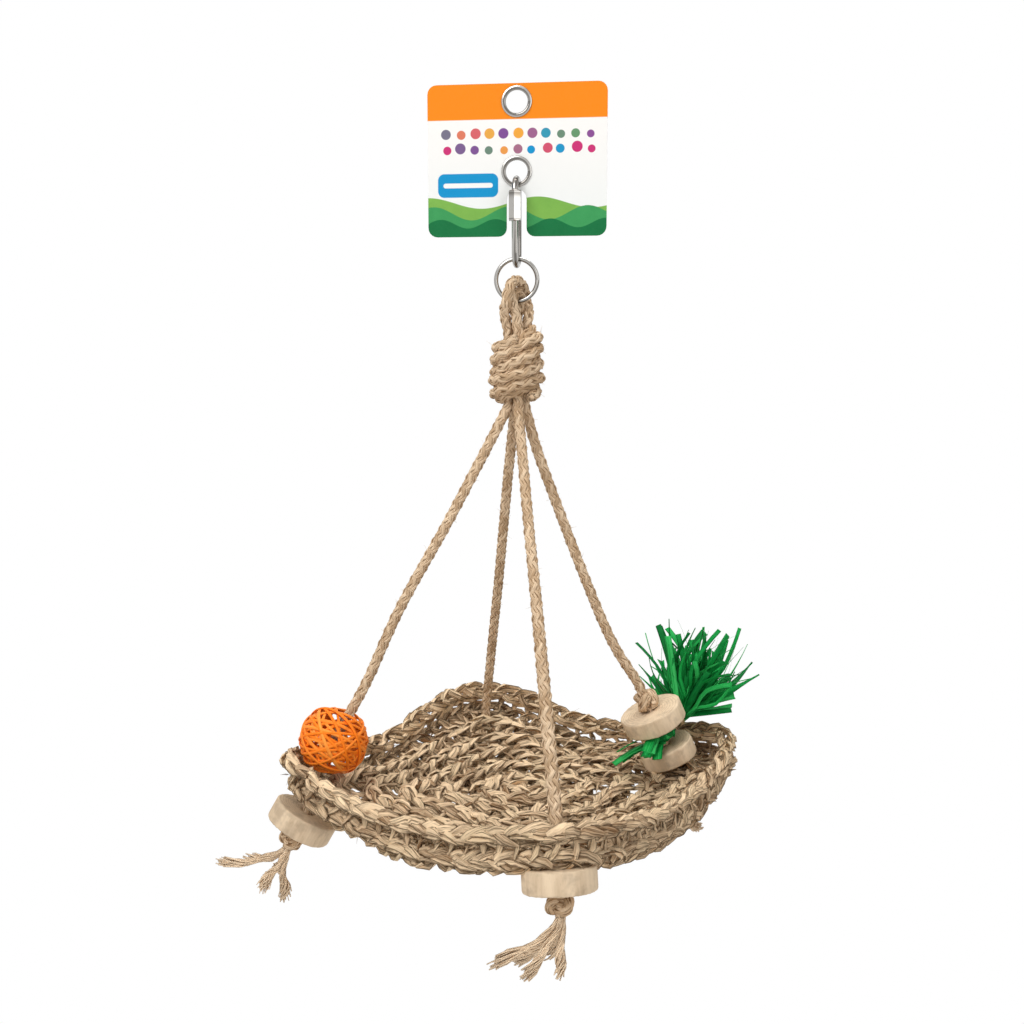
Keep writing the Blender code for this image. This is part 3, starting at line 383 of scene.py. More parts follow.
# Shades that a user wouldn't change, in linear light
SHADES = {
    "jute_warm": (0.52, 0.31, 0.15),
    # painted shade in the braid's grooves, between the yarns
    "jute_parting": (0.22, 0.115, 0.048),
    "jute_groove": (0.145, 0.070, 0.026),
    "seagrass_scorch": (0.16, 0.062, 0.020),
    # painted shade in the blades' creases
    "seagrass_crease": (0.085, 0.037, 0.013),
    # painted shade at the blades' edges, in the gaps between them
    "seagrass_edge": (0.045, 0.019, 0.006),
    "wood_check": (0.20, 0.11, 0.05),
    "wood_weather": (0.33, 0.245, 0.170),
    "wood_pore": (0.30, 0.19, 0.10),
    "rattan_stain": (0.42, 0.055, 0.004),
    # painted shade at the strips' edges, where they shade each other
    "rattan_edge": (0.36, 0.022, 0.002),
    # pale veins, partly the raffia's own and partly painted highlight
    "raffia_bright": (0.08, 0.60, 0.17),
    "tie_dark": (0.36, 0.23, 0.10),
    "tie_pale": (0.72, 0.54, 0.32),
    # painted reflection in dark bands along the wire
    "nickel_streak": (0.10, 0.090, 0.080),
    "nickel_dull": (0.34, 0.33, 0.31),
    "card_foot": (0.80, 0.82, 0.80),
    "card_grain": (0.75, 0.75, 0.75),
    "floor": (0.85, 0.85, 0.85),
    "white": (1.0, 1.0, 1.0),
}

# Print of the card: boxes are left, right, foot, head and corner radius
PRINT_EDGE = 0.0002
CARD_FADE = (-0.078, -0.016)
BAND_FOOT = -0.0150
DOT_CELL = 0.0078
DOT_BOX = (-0.0421, 0.0435, -0.0345, -0.0185, 0.001)
DOT_INKS = ((0.0, (0.004, 0.27, 0.55)), (0.25, (0.10, 0.33, 0.10)), (0.45, (0.20, 0.05, 0.28)),
            (0.65, (0.85, 0.42, 0.02)), (0.85, (0.55, 0.03, 0.16)))
BLUE_BOX = (-0.0430, -0.0100, -0.0555, -0.0430, 0.0035)
BAR_BOX = (-0.0400, -0.0130, -0.0505, -0.0480, 0.0012)
HILLS = (                   # level, swing, waves, phase and ink
    (-0.0585, 0.0030, 105.0, 0.4, (0.22, 0.46, 0.08)),
    (-0.0640, 0.0036, 150.0, 2.1, (0.05, 0.33, 0.10)),
    (-0.0695, 0.0024, 210.0, 4.0, (0.006, 0.17, 0.05)),
)
HILL_SHADE = (0.6, 0.7, 0.7)


def rgba(name):
    """A colour by its name: one of the sidebar's, or a fixed shade."""
    return (*(SHADES.get(name) or getattr(colours(), name)), 1.0)


# Node trees

def joining(operation, swapped=False):
    """A method that joins a socket's value with another one by a Math node."""
    def join(value, other):
        terms = (other, value) if swapped else (value, other)
        return value.math(operation, *terms)
    return join


class Value:
    """A socket of a node tree. Arithmetic on it adds Math nodes to the tree."""

    def __init__(self, tree, socket):
        self.tree = tree
        self.socket = socket

    def math(self, operation, *terms):
        return self.tree.node("ShaderNodeMath", {"operation": operation}, dict(enumerate(terms)))[0]

    __add__ = joining("ADD")
    __radd__ = joining("ADD", True)
    __sub__ = joining("SUBTRACT")
    __rsub__ = joining("SUBTRACT", True)
    __mul__ = joining("MULTIPLY")
    __rmul__ = joining("MULTIPLY", True)
    __pow__ = joining("POWER")
    larger = joining("MAXIMUM")

    def sine(self):
        return self.math("SINE", self)

    def size(self):
        return self.math("ABSOLUTE", self)


class Tree:
    """A node tree under construction."""

    def __init__(self, tree):
        self.tree = tree
        self.tree.nodes.clear()

    def node(self, kind, settings=None, inputs=None):
        """Add a node: its settings first, then the values or links of its sockets. Gives its outputs."""
        made = self.tree.nodes.new(kind)
        for key, setting in (settings or {}).items():
            if key == "stops":
                self.set_stops(made.color_ramp, setting)
            else:
                setattr(made, key, setting)
        for key, given in (inputs or {}).items():
            if isinstance(given, Value):
                self.tree.links.new(given.socket, made.inputs[key])
            else:
                made.inputs[key].default_value = given
        outputs = [Value(self, socket) for socket in made.outputs if socket.enabled]
        named = {given.socket.name: given for given in outputs}
        return {**dict(enumerate(outputs)), **named}

    @staticmethod
    def set_stops(ramp, stops):
        while len(ramp.elements) < len(stops):
            ramp.elements.new(1.0)
        for element, (position, shade) in zip(ramp.elements, stops):
            element.position = position
            element.color = shade


class Finish(Tree):
    """A material under construction, with the few patterns that several finishes share."""

    def __init__(self, name):
        self.material = bpy.data.materials.new(name)
        self.material.use_nodes = True
        super().__init__(self.material.node_tree)

    def place(self):
        return self.node("ShaderNodeTexCoord")["Object"]

    def attribute(self, name):
        return self.node("ShaderNodeAttribute", {"attribute_name": name})

    def vector(self, x, y, z):
        return self.node("ShaderNodeCombineXYZ", inputs={0: x, 1: y, 2: z})[0]

    def stretched(self, vector, scale):
        return self.node("ShaderNodeVectorMath", {"operation": "MULTIPLY"}, {0: vector, 1: scale})[0]

    def noise(self, vector, scale, detail=3.0, rough=0.55):
        return self.node("ShaderNodeTexNoise", inputs={"Vector": vector, "Scale": scale, "Detail": detail,
                                                       "Roughness": rough})[0]

    def between(self, value, low, high):
        """A value drawn out so that low becomes 0 and high becomes 1, with soft ends."""
        inputs = {"Value": value, "From Min": low, "From Max": high}
        return self.node("ShaderNodeMapRange", {"interpolation_type": "SMOOTHSTEP"}, inputs)[0]

    def over(self, base, share, shade):
        """A named shade laid over the base by its share."""
        return self.mix(share, base, rgba(shade))

    def mix(self, share, first, second):
        return self.node("ShaderNodeMix", {"data_type": "RGBA"}, {0: share, 6: first, 7: second})[0]

    def surface(self, base, rough, height, depth, shine=0.5, **constants):
        """Close the tree: a Principled shader with its bump, and the output."""
        bump = self.node("ShaderNodeBump", inputs={"Strength": 1.0, "Distance": depth, "Height": height})[0]
        inputs = {"Base Color": base, "Roughness": rough, "Normal": bump, "Specular IOR Level": shine}
        shader = self.node("ShaderNodeBsdfPrincipled", inputs={**inputs, **constants})[0]
        self.node("ShaderNodeOutputMaterial", inputs={"Surface": shader})
        return self.material


class StrandFinish(Finish):
    """A material on the piece's own map, which runs round each strand, and along it in metres."""

    def __init__(self, name):
        super().__init__(name)
        there = self.node("ShaderNodeUVMap", {"uv_map": "strand"})[0]
        parts = self.node("ShaderNodeSeparateXYZ", inputs={0: there})
        self.around, self.run = parts[0], parts[1]

    def tone(self, name="tone"):
        return self.attribute(name)["Fac"]

    def streaks(self, round_it, along_it, seed, detail=2.0, rough=0.55):
        """Noise drawn out along the strand."""
        place = self.vector(self.around * round_it, self.run * along_it, seed)
        return self.noise(place, 1.0, detail, rough)

    def edges(self, narrow, shift=0.0):
        """1 at the two edges of a flat strand whose map starts on one of them, 0 over its faces."""
        rise = ((self.around + shift) * math.tau).sine()
        return 1 - self.between(rise.size(), 0.0, narrow)


# Paths

def polar(radius, azimuth, z):
    return np.array((radius * math.cos(azimuth), radius * math.sin(azimuth), z))


def in_row(points):
    """Points of the hammock's own frame, in the part's frame."""
    return np.asarray(points, dtype=float) @ ROW_TURN.T + HAMMOCK_PIVOT


def row_way(direction):
    """A direction of the hammock's own frame, in the part's frame."""
    return ROW_TURN @ direction


def on_axis(joint, lift):
    """A point on a joint's axis, in the part's frame."""
    return np.array(JOINTS[joint]["pos_m"]) + np.array(JOINTS[joint]["axis"]) * lift


def unit(vector):
    vector = np.asarray(vector, dtype=float)
    return vector / np.linalg.norm(vector)


def random_way(chance):
    return unit([chance.gauss(0, 1) for _ in range(3)])


def turns(count):
    """Angles evenly spaced round a full turn."""
    return math.tau * np.arange(count) / count


def smooth_path(knots, spacing):
    """Points along a Catmull-Rom curve through the knots, about one spacing apart."""
    knots = [np.asarray(knot, dtype=float) for knot in knots]
    ends = [2 * knots[0] - knots[1]] + knots + [2 * knots[-1] - knots[-2]]
    points = []
    for a, b, c, d in zip(ends, ends[1:], ends[2:], ends[3:]):
        steps = max(1, round(np.linalg.norm(c - b) / spacing))
        for step in range(steps):
            t = step / steps
            points.append(0.5 * (2 * b + (c - a) * t + (2 * a - 5 * b + 4 * c - d) * t ** 2
                                 + (3 * b - a - 3 * c + d) * t ** 3))
    points.append(knots[-1])
    return np.array(points)


def lengths_along(path):
    steps = np.linalg.norm(np.diff(path, axis=0), axis=1)
    return np.concatenate(([0.0], np.cumsum(steps)))


def resampled(path, spacing):
    """The same path with points at even distances."""
    path = np.asarray(path, dtype=float)
    far = lengths_along(path)
    count = max(2, round(far[-1] / spacing) + 1)
    even = np.linspace(0, far[-1], count)
    return np.stack([np.interp(even, far, path[:, axis]) for axis in range(3)], axis=1)


def travelling_frames(path):
    """Two directions across the path at every point, carried along it without twist."""
    tangents = np.gradient(path, axis=0)
    tangents /= np.linalg.norm(tangents, axis=1)[:, None]
    guess = np.array((0.0, 0.0, 1.0)) if abs(tangents[0][2]) < 0.9 else np.array((1.0, 0.0, 0.0))
    across = [unit(np.cross(tangents[0], guess))]
    for tangent in tangents[1:]:
        side = across[-1] - tangent * (across[-1] @ tangent)
        across.append(side / np.linalg.norm(side))
    across = np.array(across)
    return tangents, across, np.cross(tangents, across)


def turned(across, upward, turn):
    """Two directions across a path, turned about it by one angle or by one for each point."""
    cosine = np.cos(turn)[..., None]
    sine = np.sin(turn)[..., None]
    return across * cosine + upward * sine, upward * cosine - across * sine


def ovals(path, wide, thin, sides):
    """Rings of points along a path, each an oval with two half axes."""
    angles = turns(sides)[None, :, None]
    return path[:, None] + wide[:, None] * np.cos(angles) + thin[:, None] * np.sin(angles)


# Meshes

class Shape:
    """Points, faces, strand maps and tones gathered for one piece."""

    def __init__(self):
        self.points = []
        self.faces = []
        self.maps = []
        self.tones = []

    def add_rings(self, rings, far, tone=0.5, closed=False):
        """A tube given by its rings of points. Its map runs round each ring, and along by the distances."""
        rings = np.asarray(rings, dtype=float)
        count, sides = rings.shape[:2]
        base = len(self.points)
        self.points.extend(map(tuple, rings.reshape(-1, 3)))
        self.tones.extend([tone] * (count * sides))
        for row in range(count if closed else count - 1):
            after = (row + 1) % count
            v0 = far[row]
            v1 = far[after] if after else far[row] + far[1] - far[0]
            for side in range(sides):
                beside = (side + 1) % sides
                self.faces.append((base + row * sides + side, base + row * sides + beside,
                                   base + after * sides + beside, base + after * sides + side))
                u0 = side / sides
                u1 = (side + 1) / sides
                self.maps.extend(((u0, v0), (u1, v0), (u1, v1), (u0, v1)))
        if not closed:
            first = range(base, base + sides)
            self.faces.append(tuple(reversed(first)))
            self.faces.append(tuple(side + (count - 1) * sides for side in first))
            self.maps.extend([(0.5, far[0])] * sides + [(0.5, far[-1])] * sides)

    def add_tube(self, path, radius, sides, tone=0.5, flatness=1.0, turn=0.0):
        """A tube along a path, of one radius or one for each point. Flatness below 1 makes a ribbon."""
        path = np.asarray(path, dtype=float)
        _, across, upward = travelling_frames(path)
        radius = np.broadcast_to(np.asarray(radius, dtype=float), len(path))[:, None]
        wide, thin = turned(across, upward, turn)
        rings = ovals(path, wide * radius, thin * radius * flatness, sides)
        self.add_rings(rings, lengths_along(path), tone)

    def add_revolved(self, profile, columns, matrix, tone=0.5):
        """A closed profile of (radius, height) points turned round the matrix's Z axis, outward faces."""
        angles = turns(columns)
        rings = np.array([[polar(radius, angle, height) for radius, height in profile] for angle in angles])
        self.add_rings(moved(rings.reshape(-1, 3), matrix).reshape(rings.shape),
                       angles * max(radius for radius, _ in profile), tone, closed=True)

    def make(self, name, slot, sharp=None):
        """The object, at the origin, with its map, its tones and the finish of its slot."""
        mesh = bpy.data.meshes.new(name)
        mesh.from_pydata(self.points, [], self.faces)
        layer = mesh.uv_layers.new(name="strand")
        layer.data.foreach_set("uv", np.asarray(self.maps, dtype=np.float32).ravel())
        tone = mesh.attributes.new("tone", "FLOAT", "POINT")
        tone.data.foreach_set("value", np.asarray(self.tones, dtype=np.float32))
        mesh.materials.append(finish_of(slot))
        mesh.shade_smooth()
        if sharp is not None:
            mesh.set_sharp_from_angle(angle=sharp)
        return link(name, mesh)

    def put(self, name, body, slot, *nodes, sharp=None):
        """Make the piece and set it on its body, in place of the CAD nodes that it dresses."""
        return ridden(self.make(name, slot, sharp), body, slot, *nodes)


def moved(points, matrix):
    matrix = np.array(matrix)
    return points @ matrix[:3, :3].T + matrix[:3, 3]


def link(name, data):
    made = bpy.data.objects.new(name, data)
    bpy.context.collection.objects.link(made)
    return made


def along(point, direction):
    """A matrix that puts the origin at the point and +Z on the direction."""
    turn = Vector(direction).to_track_quat("Z", "Y").to_matrix().to_4x4()
    return Matrix.Translation(Vector(point)) @ turn


def ridden(piece, body, slot, *nodes):
    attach(piece, body)
    if nodes:
        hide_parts(*nodes)
    return piece


def finish_of(slot):
    """A slot's finish is made once, and shared by the pieces that have it."""
    name = f"{slot}_finish"
    return bpy.data.materials.get(name) or FINISHES[slot](name)


# Finishes

def jute_finish(name):
    """Braided jute: fibres that run along each flat yarn, hairy, with painted shade along its edges where
    the yarns meet.
    """
    finish = StrandFinish(name)
    tone = finish.tone()
    place = finish.place()
    fine = finish.noise(place, 900.0, 2.0)
    slant = finish.around * 16.0 + finish.run * 120.0
    fibres = finish.noise(finish.vector(slant, finish.run * 70.0, tone * 7.0), 1.6, 4.0, 0.7)
    patches = finish.noise(place, 60.0)
    shade = finish.between(fibres * 1.30 + patches * 0.40 + tone * 0.50 - 0.68, 0.12, 0.82)
    base = finish.mix(shade, rgba("jute_dark"), rgba("jute_pale"))
    warm = finish.between(finish.noise(place, 28.0, 2.0), 0.52, 0.72)
    base = finish.over(base, warm * 0.22, "jute_warm")
    slant = finish.around * 30.0 + finish.run * 160.0
    partings = finish.noise(finish.vector(slant, finish.run * 50.0, tone * 17.0), 1.0, 3.0, 0.7)
    base = finish.over(base, finish.between(partings, 0.56, 0.66) * 0.42, "jute_parting")
    # Painted shade: each yarn darkened along its edges, where it meets the next in the braid's grooves
    base = finish.over(base, finish.edges(0.62, 0.25) * 0.84, "jute_groove")
    return finish.surface(base, 0.96 - fibres * 0.08, fibres * 0.8 + fine * 0.25, 0.00040, 0.05)


def seagrass_finish(name):
    """Dry seagrass: streaks along each folded blade, painted shade in its creases and at its edges, and a
    tone for each blade and stitch.
    """
    finish = StrandFinish(name)
    blade = finish.tone()
    stitch = finish.tone("stitch")
    seed = blade * 31.0 + stitch * 57.0
    broad = finish.streaks(9.0, 90.0, seed, 3.0, 0.6)
    fibres = finish.streaks(44.0, 60.0, seed, 3.0, 0.65)
    patches = finish.noise(finish.place(), 34.0, 2.0)
    light = broad * 0.80 + fibres * 0.60 + blade * 0.34 + stitch * 0.40 + patches * 0.40
    lightness = finish.between(light, 0.74, 1.42)
    base = finish.mix(lightness, rgba("seagrass_brown"), rgba("seagrass_pale"))
    olive = finish.between(patches + stitch * 0.35, 0.62, 0.98)
    base = finish.over(base, olive * 0.25, "seagrass_olive")
    scorch = finish.between(finish.streaks(3.0, 150.0, seed), 0.62, 0.74)
    base = finish.over(base, scorch * 0.55, "seagrass_scorch")
    # Painted shade: thin dark lines in the creases along the blades, which the bump also cuts in
    crease = finish.between(finish.streaks(24.0, 46.0, seed + 5.0, 3.0, 0.7), 0.55, 0.63)
    base = finish.over(base, crease * 0.60, "seagrass_crease")
    # Painted shade: a dark outline along each blade's edges, where the gaps between blades fall
    base = finish.over(base, finish.edges(0.55) * 0.78, "seagrass_edge")
    height = fibres * 0.7 + broad * 0.5 - crease * 0.6
    return finish.surface(base, 0.80 - lightness * 0.12, height, 0.00060, 0.04)


def wood_finish(name):
    """Pale slices sawn across a branch: yearly rings and checks on the faces, fine grain on the edge."""
    finish = Finish(name)
    local = finish.attribute("grain")["Vector"]
    parts = finish.node("ShaderNodeSeparateXYZ", inputs={0: local})
    flat = finish.vector(parts[0], parts[1], 0.0)
    reach = finish.node("ShaderNodeVectorMath", {"operation": "LENGTH"}, {0: flat})["Value"]
    bearing = parts[1].math("ARCTAN2", parts[1], parts[0])
    rings = ((reach * 620.0 + finish.noise(flat, 110.0) * 1.6) * math.tau).sine() * 0.5 + 0.5
    edge_grain = finish.noise(finish.stretched(local, (420.0, 420.0, 60.0)), 1.0, 3.0, 0.65)
    pores = finish.noise(finish.stretched(local, (2400.0, 2400.0, 260.0)), 1.0, 2.0)
    rays = finish.noise(finish.vector(bearing * 9.0, reach * 40.0, 0.0), 1.0, 3.0, 0.7)
    checks = finish.between(rays, 0.70, 0.76) * finish.between(reach, 0.004, 0.010)
    cloud = finish.noise(local, 70.0, 2.0)
    share = finish.between(rings * 0.30 + edge_grain * 0.60 + cloud * 0.45 - 0.42, 0.0, 0.9)
    base = finish.mix(share * 0.75, rgba("wood_pale"), rgba("wood_ring"))
    base = finish.over(base, checks * 0.55, "wood_check")
    weather = finish.between(finish.noise(local, 95.0, 3.0, 0.65), 0.46, 0.68)
    base = finish.over(base, weather * 0.42, "wood_weather")
    base = finish.over(base, finish.between(pores, 0.60, 0.75) * 0.30, "wood_pore")
    height = edge_grain * 0.5 + pores * 0.4 + rings * 0.25 - checks * 1.5
    return finish.surface(base, 0.62 + edge_grain * 0.20, height, 0.00030, 0.10)


def rattan_finish(name):
    """Dyed rattan: long streaks along each strip, paler where the dye took less, with painted shade at its
    edges.
    """
    finish = StrandFinish(name)
    tone = finish.tone()
    streaks = finish.streaks(26.0, 60.0, tone * 23.0, 3.0, 0.65)
    bark = finish.streaks(60.0, 700.0, tone * 11.0)
    share = finish.between(streaks * 0.8 + tone * 0.55 - 0.28, 0.2, 0.9)
    base = finish.mix(share, rgba("rattan"), rgba("rattan_pale"))
    stain = finish.between(finish.noise(finish.place(), 190.0), 0.58, 0.74)
    base = finish.over(base, stain * 0.4, "rattan_stain")
    # Painted shade: each strip darkened along its edges, where the strips shade each other
    base = finish.over(base, finish.edges(0.50) * 0.70, "rattan_edge")
    return finish.surface(base, 0.42 + streaks * 0.22, streaks * 0.7 + bark * 0.35, 0.00022, 0.20)


def raffia_finish(name):
    """Dyed raffia: thin ribbons with fine lengthwise veins, the palest of them painted brighter as
    highlights, and a soft gloss.
    """
    finish = StrandFinish(name)
    tone = finish.tone()
    veins = finish.streaks(46.0, 22.0, tone * 29.0, 3.0, 0.6)
    cloud = finish.streaks(3.0, 70.0, tone * 13.0)
    share = finish.between(veins * 0.55 + tone * 0.75 + cloud * 0.3 - 0.30, 0.0, 1.0)
    base = finish.mix(share, rgba("raffia_dark"), rgba("raffia"))
    # Pale veins, partly the raffia's own colour and partly painted highlight
    bright = finish.between(veins + tone * 0.4, 0.74, 0.98)
    base = finish.over(base, bright * 0.70, "raffia_bright")
    return finish.surface(base, 0.46 + veins * 0.20, veins * 0.8 + cloud * 0.2, 0.00020, 0.08)


def tie_finish(name):
    """Undyed fibre of the tie."""
    finish = StrandFinish(name)
    tone = finish.tone()
    hairs = finish.streaks(14.0, 160.0, tone * 9.0, 3.0, 0.65)
    base = finish.mix(finish.between(hairs, 0.25, 0.75), rgba("tie_dark"), rgba("tie_pale"))
    return finish.surface(base, 0.80 + hairs * 0.12, hairs, 0.00020)


def nickel_finish(name):
    """Bright nickel plate: dark streaks along the wire as painted reflections, faint drawing lines along
    it, and small dull spots.
    """
    finish = StrandFinish(name)
    lines = finish.streaks(40.0, 30.0, 0.0)
    spots = finish.noise(finish.place(), 420.0)
    dull = finish.between(spots, 0.55, 0.75)
    # Painted reflection: dark bands along the wire, standing in for the studio seen in the plate
    streak = finish.between(finish.streaks(7.0, 9.0, 3.0), 0.46, 0.58)
    base = finish.mix(streak * 0.80, rgba("nickel"), rgba("nickel_streak"))
    base = finish.over(base, dull * 0.25, "nickel_dull")
    rough = 0.13 + dull * 0.14 + lines * 0.05
    return finish.surface(base, rough, lines * 0.6 + spots * 0.4, 0.00003, Metallic=1.0)


def card_finish(name):
    """Card printed on its front: a plain band, rows of dots, a blue panel and hills along the foot."""
    finish = Finish(name)
    place = finish.place()
    parts = finish.node("ShaderNodeSeparateXYZ", inputs={0: place})
    x, y, z = parts[0], parts[1], parts[2]

    def above(value, level):
        return finish.between(value, level - PRINT_EDGE, level + PRINT_EDGE)

    def panel(left, right, foot, head, corner):
        """A box with rounded corners, 1 inside."""
        across = ((x - (left + right) / 2).size() - ((right - left) / 2 - corner)).larger(0.0)
        upright = ((z - (foot + head) / 2).size() - ((head - foot) / 2 - corner)).larger(0.0)
        return 1 - above((across * across + upright * upright) ** 0.5, corner)

    grain = finish.noise(place, 1500.0, 2.0)
    base = finish.mix(finish.between(z, *CARD_FADE), rgba("card_foot"), rgba("card_field"))
    cell = finish.node("ShaderNodeVectorMath", {"operation": "SCALE"},
                       {0: finish.vector(x, z, 0.0), "Scale": 1 / DOT_CELL})[0]
    spots = finish.node("ShaderNodeTexVoronoi", {"voronoi_dimensions": "2D"},
                        {"Vector": cell, "Scale": 1.0, "Randomness": 0.18})
    pick = finish.node("ShaderNodeSeparateColor", inputs={0: spots["Color"]})
    dot = 1 - finish.between(spots["Distance"], 0.24 + pick[1] * 0.12, 0.27 + pick[1] * 0.12)
    stops = [(stop, (*ink, 1.0)) for stop, ink in DOT_INKS]
    hue = finish.node("ShaderNodeValToRGB", {"stops": stops}, {0: pick[0]})
    base = finish.mix(dot * panel(*DOT_BOX), base, hue["Color"])
    inks = finish.noise(place, 130.0) * 0.7
    for level, swing, waves, phase, ink in HILLS:
        crest = (x * waves + phase).sine() * swing + level
        dark = [part * share for part, share in zip(ink, HILL_SHADE)]
        base = finish.mix(1 - above(z - crest, 0.0), base, finish.mix(inks, (*ink, 1.0), (*dark, 1.0)))
    base = finish.over(base, panel(*BLUE_BOX), "card_blue")
    base = finish.over(base, panel(*BAR_BOX), "card_field")
    base = finish.over(base, above(z, BAND_FOOT), "card_band")
    base = finish.over(base, above(y, 0.0), "card_field")
    base = finish.over(base, grain * 0.02, "card_grain")
    gloss = {"Coat Weight": 0.03, "Coat Roughness": 0.22}
    return finish.surface(base, 0.40 + grain * 0.12, grain, 0.00002, 0.06, **gloss)


FINISHES = {"jute": jute_finish, "seagrass": seagrass_finish, "pale_wood": wood_finish,
            "orange_rattan": rattan_finish, "green_raffia": raffia_finish, "tie_fibre": tie_finish,
            "nickel": nickel_finish, "printed_card": card_finish}


# Ropes

def softened(points, passes):
    """A rope's path in the part's frame: evenly spaced, with its bends eased."""
    path = resampled(in_row(points), ROPE_STEP)
    for _ in range(passes):
        path[1:-1] = 0.25 * path[:-2] + 0.5 * path[1:-1] + 0.25 * path[2:]
    return path


def add_rope(shape, path, phase=0.0, tone=0.5, scale=1.0):
    """A round braid along the path: flat yarns wind both ways and pass over and under each other."""
    each_way = sizes().rope_yarns // 2
    girth = ROPE_RADIUS * ROPE_PLUMP * np.broadcast_to(scale, len(path))
    _, across, upward = travelling_frames(path)
    far = lengths_along(path)
    wind = math.tau * far / sizes().rope_lay
    shape.add_tube(path, girth * ROPE_CORE, CORE_SIDES, tone)
    for hand in (1, -1):
        weave = 1 - YARN_THICKNESS - YARN_WEAVE + hand * YARN_WEAVE * np.cos(each_way * wind)
        for number in range(each_way):
            out, side = turned(across, upward, phase + hand * wind + math.tau * number / each_way)
            swell = girth * (1 + YARN_SWELL * np.sin(far * YARN_SWELL_RATE + YARN_PHASE * number + hand))
            middle = path + out * (girth * weave)[:, None]
            rings = ovals(middle, out * (swell * YARN_THICKNESS)[:, None],
                          side * (swell * YARN_WIDTH)[:, None], YARN_SIDES)
            shape.add_rings(rings, far, tone + YARN_TONE * math.sin(GOLDEN_ANGLE * number + 2 * hand))
    return shape


def add_hairs(shape, path, count, seed):
    """Stray hairs that lift off a rope."""
    chance = random.Random(seed)
    tangents, across, upward = travelling_frames(path)
    for _ in range(count):
        row = chance.randrange(2, len(path) - 2)
        out, _ = turned(across[row], upward[row], chance.uniform(0, math.tau))
        run = tangents[row] * chance.choice((-1, 1))
        length = chance.uniform(*HAIR_LENGTH)
        root = path[row] + out * ROPE_RADIUS * HAIR_ROOT
        lift = chance.uniform(*HAIR_LIFT)
        bend = random_way(chance) * length * HAIR_BEND
        way = (run * (1 - lift) + out * lift) * length
        points = [root + way * t + bend * t * t for t in HAIR_STEPS]
        shape.add_tube(points, HAIR_RADII, 3, chance.uniform(*HAIR_TONES))


def loop_path(arch, front, back):
    """One rope over the ring: up from its front strand, over the wire and down its back strand."""
    drop = KNOT_TOP + LOOP_CENTRE
    sides = []
    for start, end in ((LOOP_TURN, front), (LOOP_TURN + math.pi, back)):
        side = []
        for share in np.arange(1, LOOP_STEPS + 1) / LOOP_STEPS:
            drawn = share ** LOOP_DRAW
            side.append(polar(arch + (STRAND_OFFSET - arch) * drawn, start + (end - start) * drawn,
                              LOOP_CENTRE - drop * share))
        sides.append(side + [polar(STRAND_OFFSET, end, -KNOT_MIDDLE)])
    over = [polar(arch * math.cos(a), LOOP_TURN, LOOP_CENTRE + arch * math.sin(a))
            for a in np.linspace(0, math.pi, ARCH_STEPS)]
    return np.array(sides[0][::-1] + over + sides[1])


def wrap_path(inset=0.0, shift=0.0):
    """A layer of the wrapping: a slanting helix that swells in its middle. The outer one has two ends."""
    count = round(KNOT_TURNS * WRAP_STEPS)
    points = []
    for t in np.arange(count + 1) / count:
        azimuth = LOOP_TURN + shift - math.tau * KNOT_TURNS * t
        radius = KNOT_WAIST - inset + KNOT_BULGE * math.sin(math.pi * t ** KNOT_BULGE_LOW)
        slant = KNOT_SLANT_TOP + (KNOT_SLANT_FOOT - KNOT_SLANT_TOP) * t
        z = -KNOT_TOP - ROPE_RADIUS - KNOT_TURNS * KNOT_PITCH * t
        z += radius * math.tan(slant) * math.cos(azimuth - KNOT_SLANT_AZIMUTH)
        radius += WRAP_WANDER[0] * math.sin(WRAP_WANDER[1] * azimuth)
        z += WRAP_DRIFT[0] * math.sin(WRAP_DRIFT[1] * azimuth + 1)
        points.append(polar(radius, azimuth, z))
    if inset:
        return np.array(points)
    first = points[0] + unit(points[0] - points[1]) * 2 * ROPE_RADIUS
    last = points[-1] + unit(points[-1] - points[-2]) * 2 * ROPE_RADIUS
    return np.array([first] + points + [last])


def leg_path(name):
    """A leg from the middle of the knot to the end of its tail, in the hammock's frame."""
    azimuth = CORNERS[name]
    hole = LEG_HOLES[name]
    start = polar(STRAND_OFFSET, azimuth, -KNOT_MIDDLE)
    leave = polar(STRAND_OFFSET, azimuth, -KNOT_EXIT)
    bend = polar(hole, azimuth, mat_level(hole) + LEG_BEND)
    if name == "right":
        middle = [polar(radius, azimuth, height - HANG_DROP) for radius, height in RIGHT_LEG_BENDS]
        above_knot = on_axis("upper_slice_spin", TOY_KNOT_LIFT + TAIL_KNOT_HEIGHT)
        middle.append((above_knot - HAMMOCK_PIVOT) @ ROW_TURN)
    else:
        middle = [leave + (bend - leave) * share + polar(out, azimuth, 0) for share, out in LEG_WAVES[name]]
    upper = smooth_path([leave] + middle, 2 * ROPE_RADIUS)
    return np.vstack(([start], upper, [bend], tail_path(name)))


def corner_share(radius):
    return radius ** 2 / (2 * MAT_CORNER ** 2)


def sag(x, y):
    """Height of the hanging mat over its corner holes, in the unturned frame of its square."""
    share = abs(x * y) / MAT_CORNER ** 2
    return MAT_SAG * (share ** SAG_POWER - corner_share(LEG_HOLES["left"]) ** SAG_POWER)


def mat_level(radius):
    """Height of the mat towards a corner."""
    return sag(radius / math.sqrt(2), radius / math.sqrt(2)) - HANG_DROP


def mat_slope(radius):
    return math.atan(2 * SAG_POWER * MAT_SAG * corner_share(radius) ** SAG_POWER / radius)


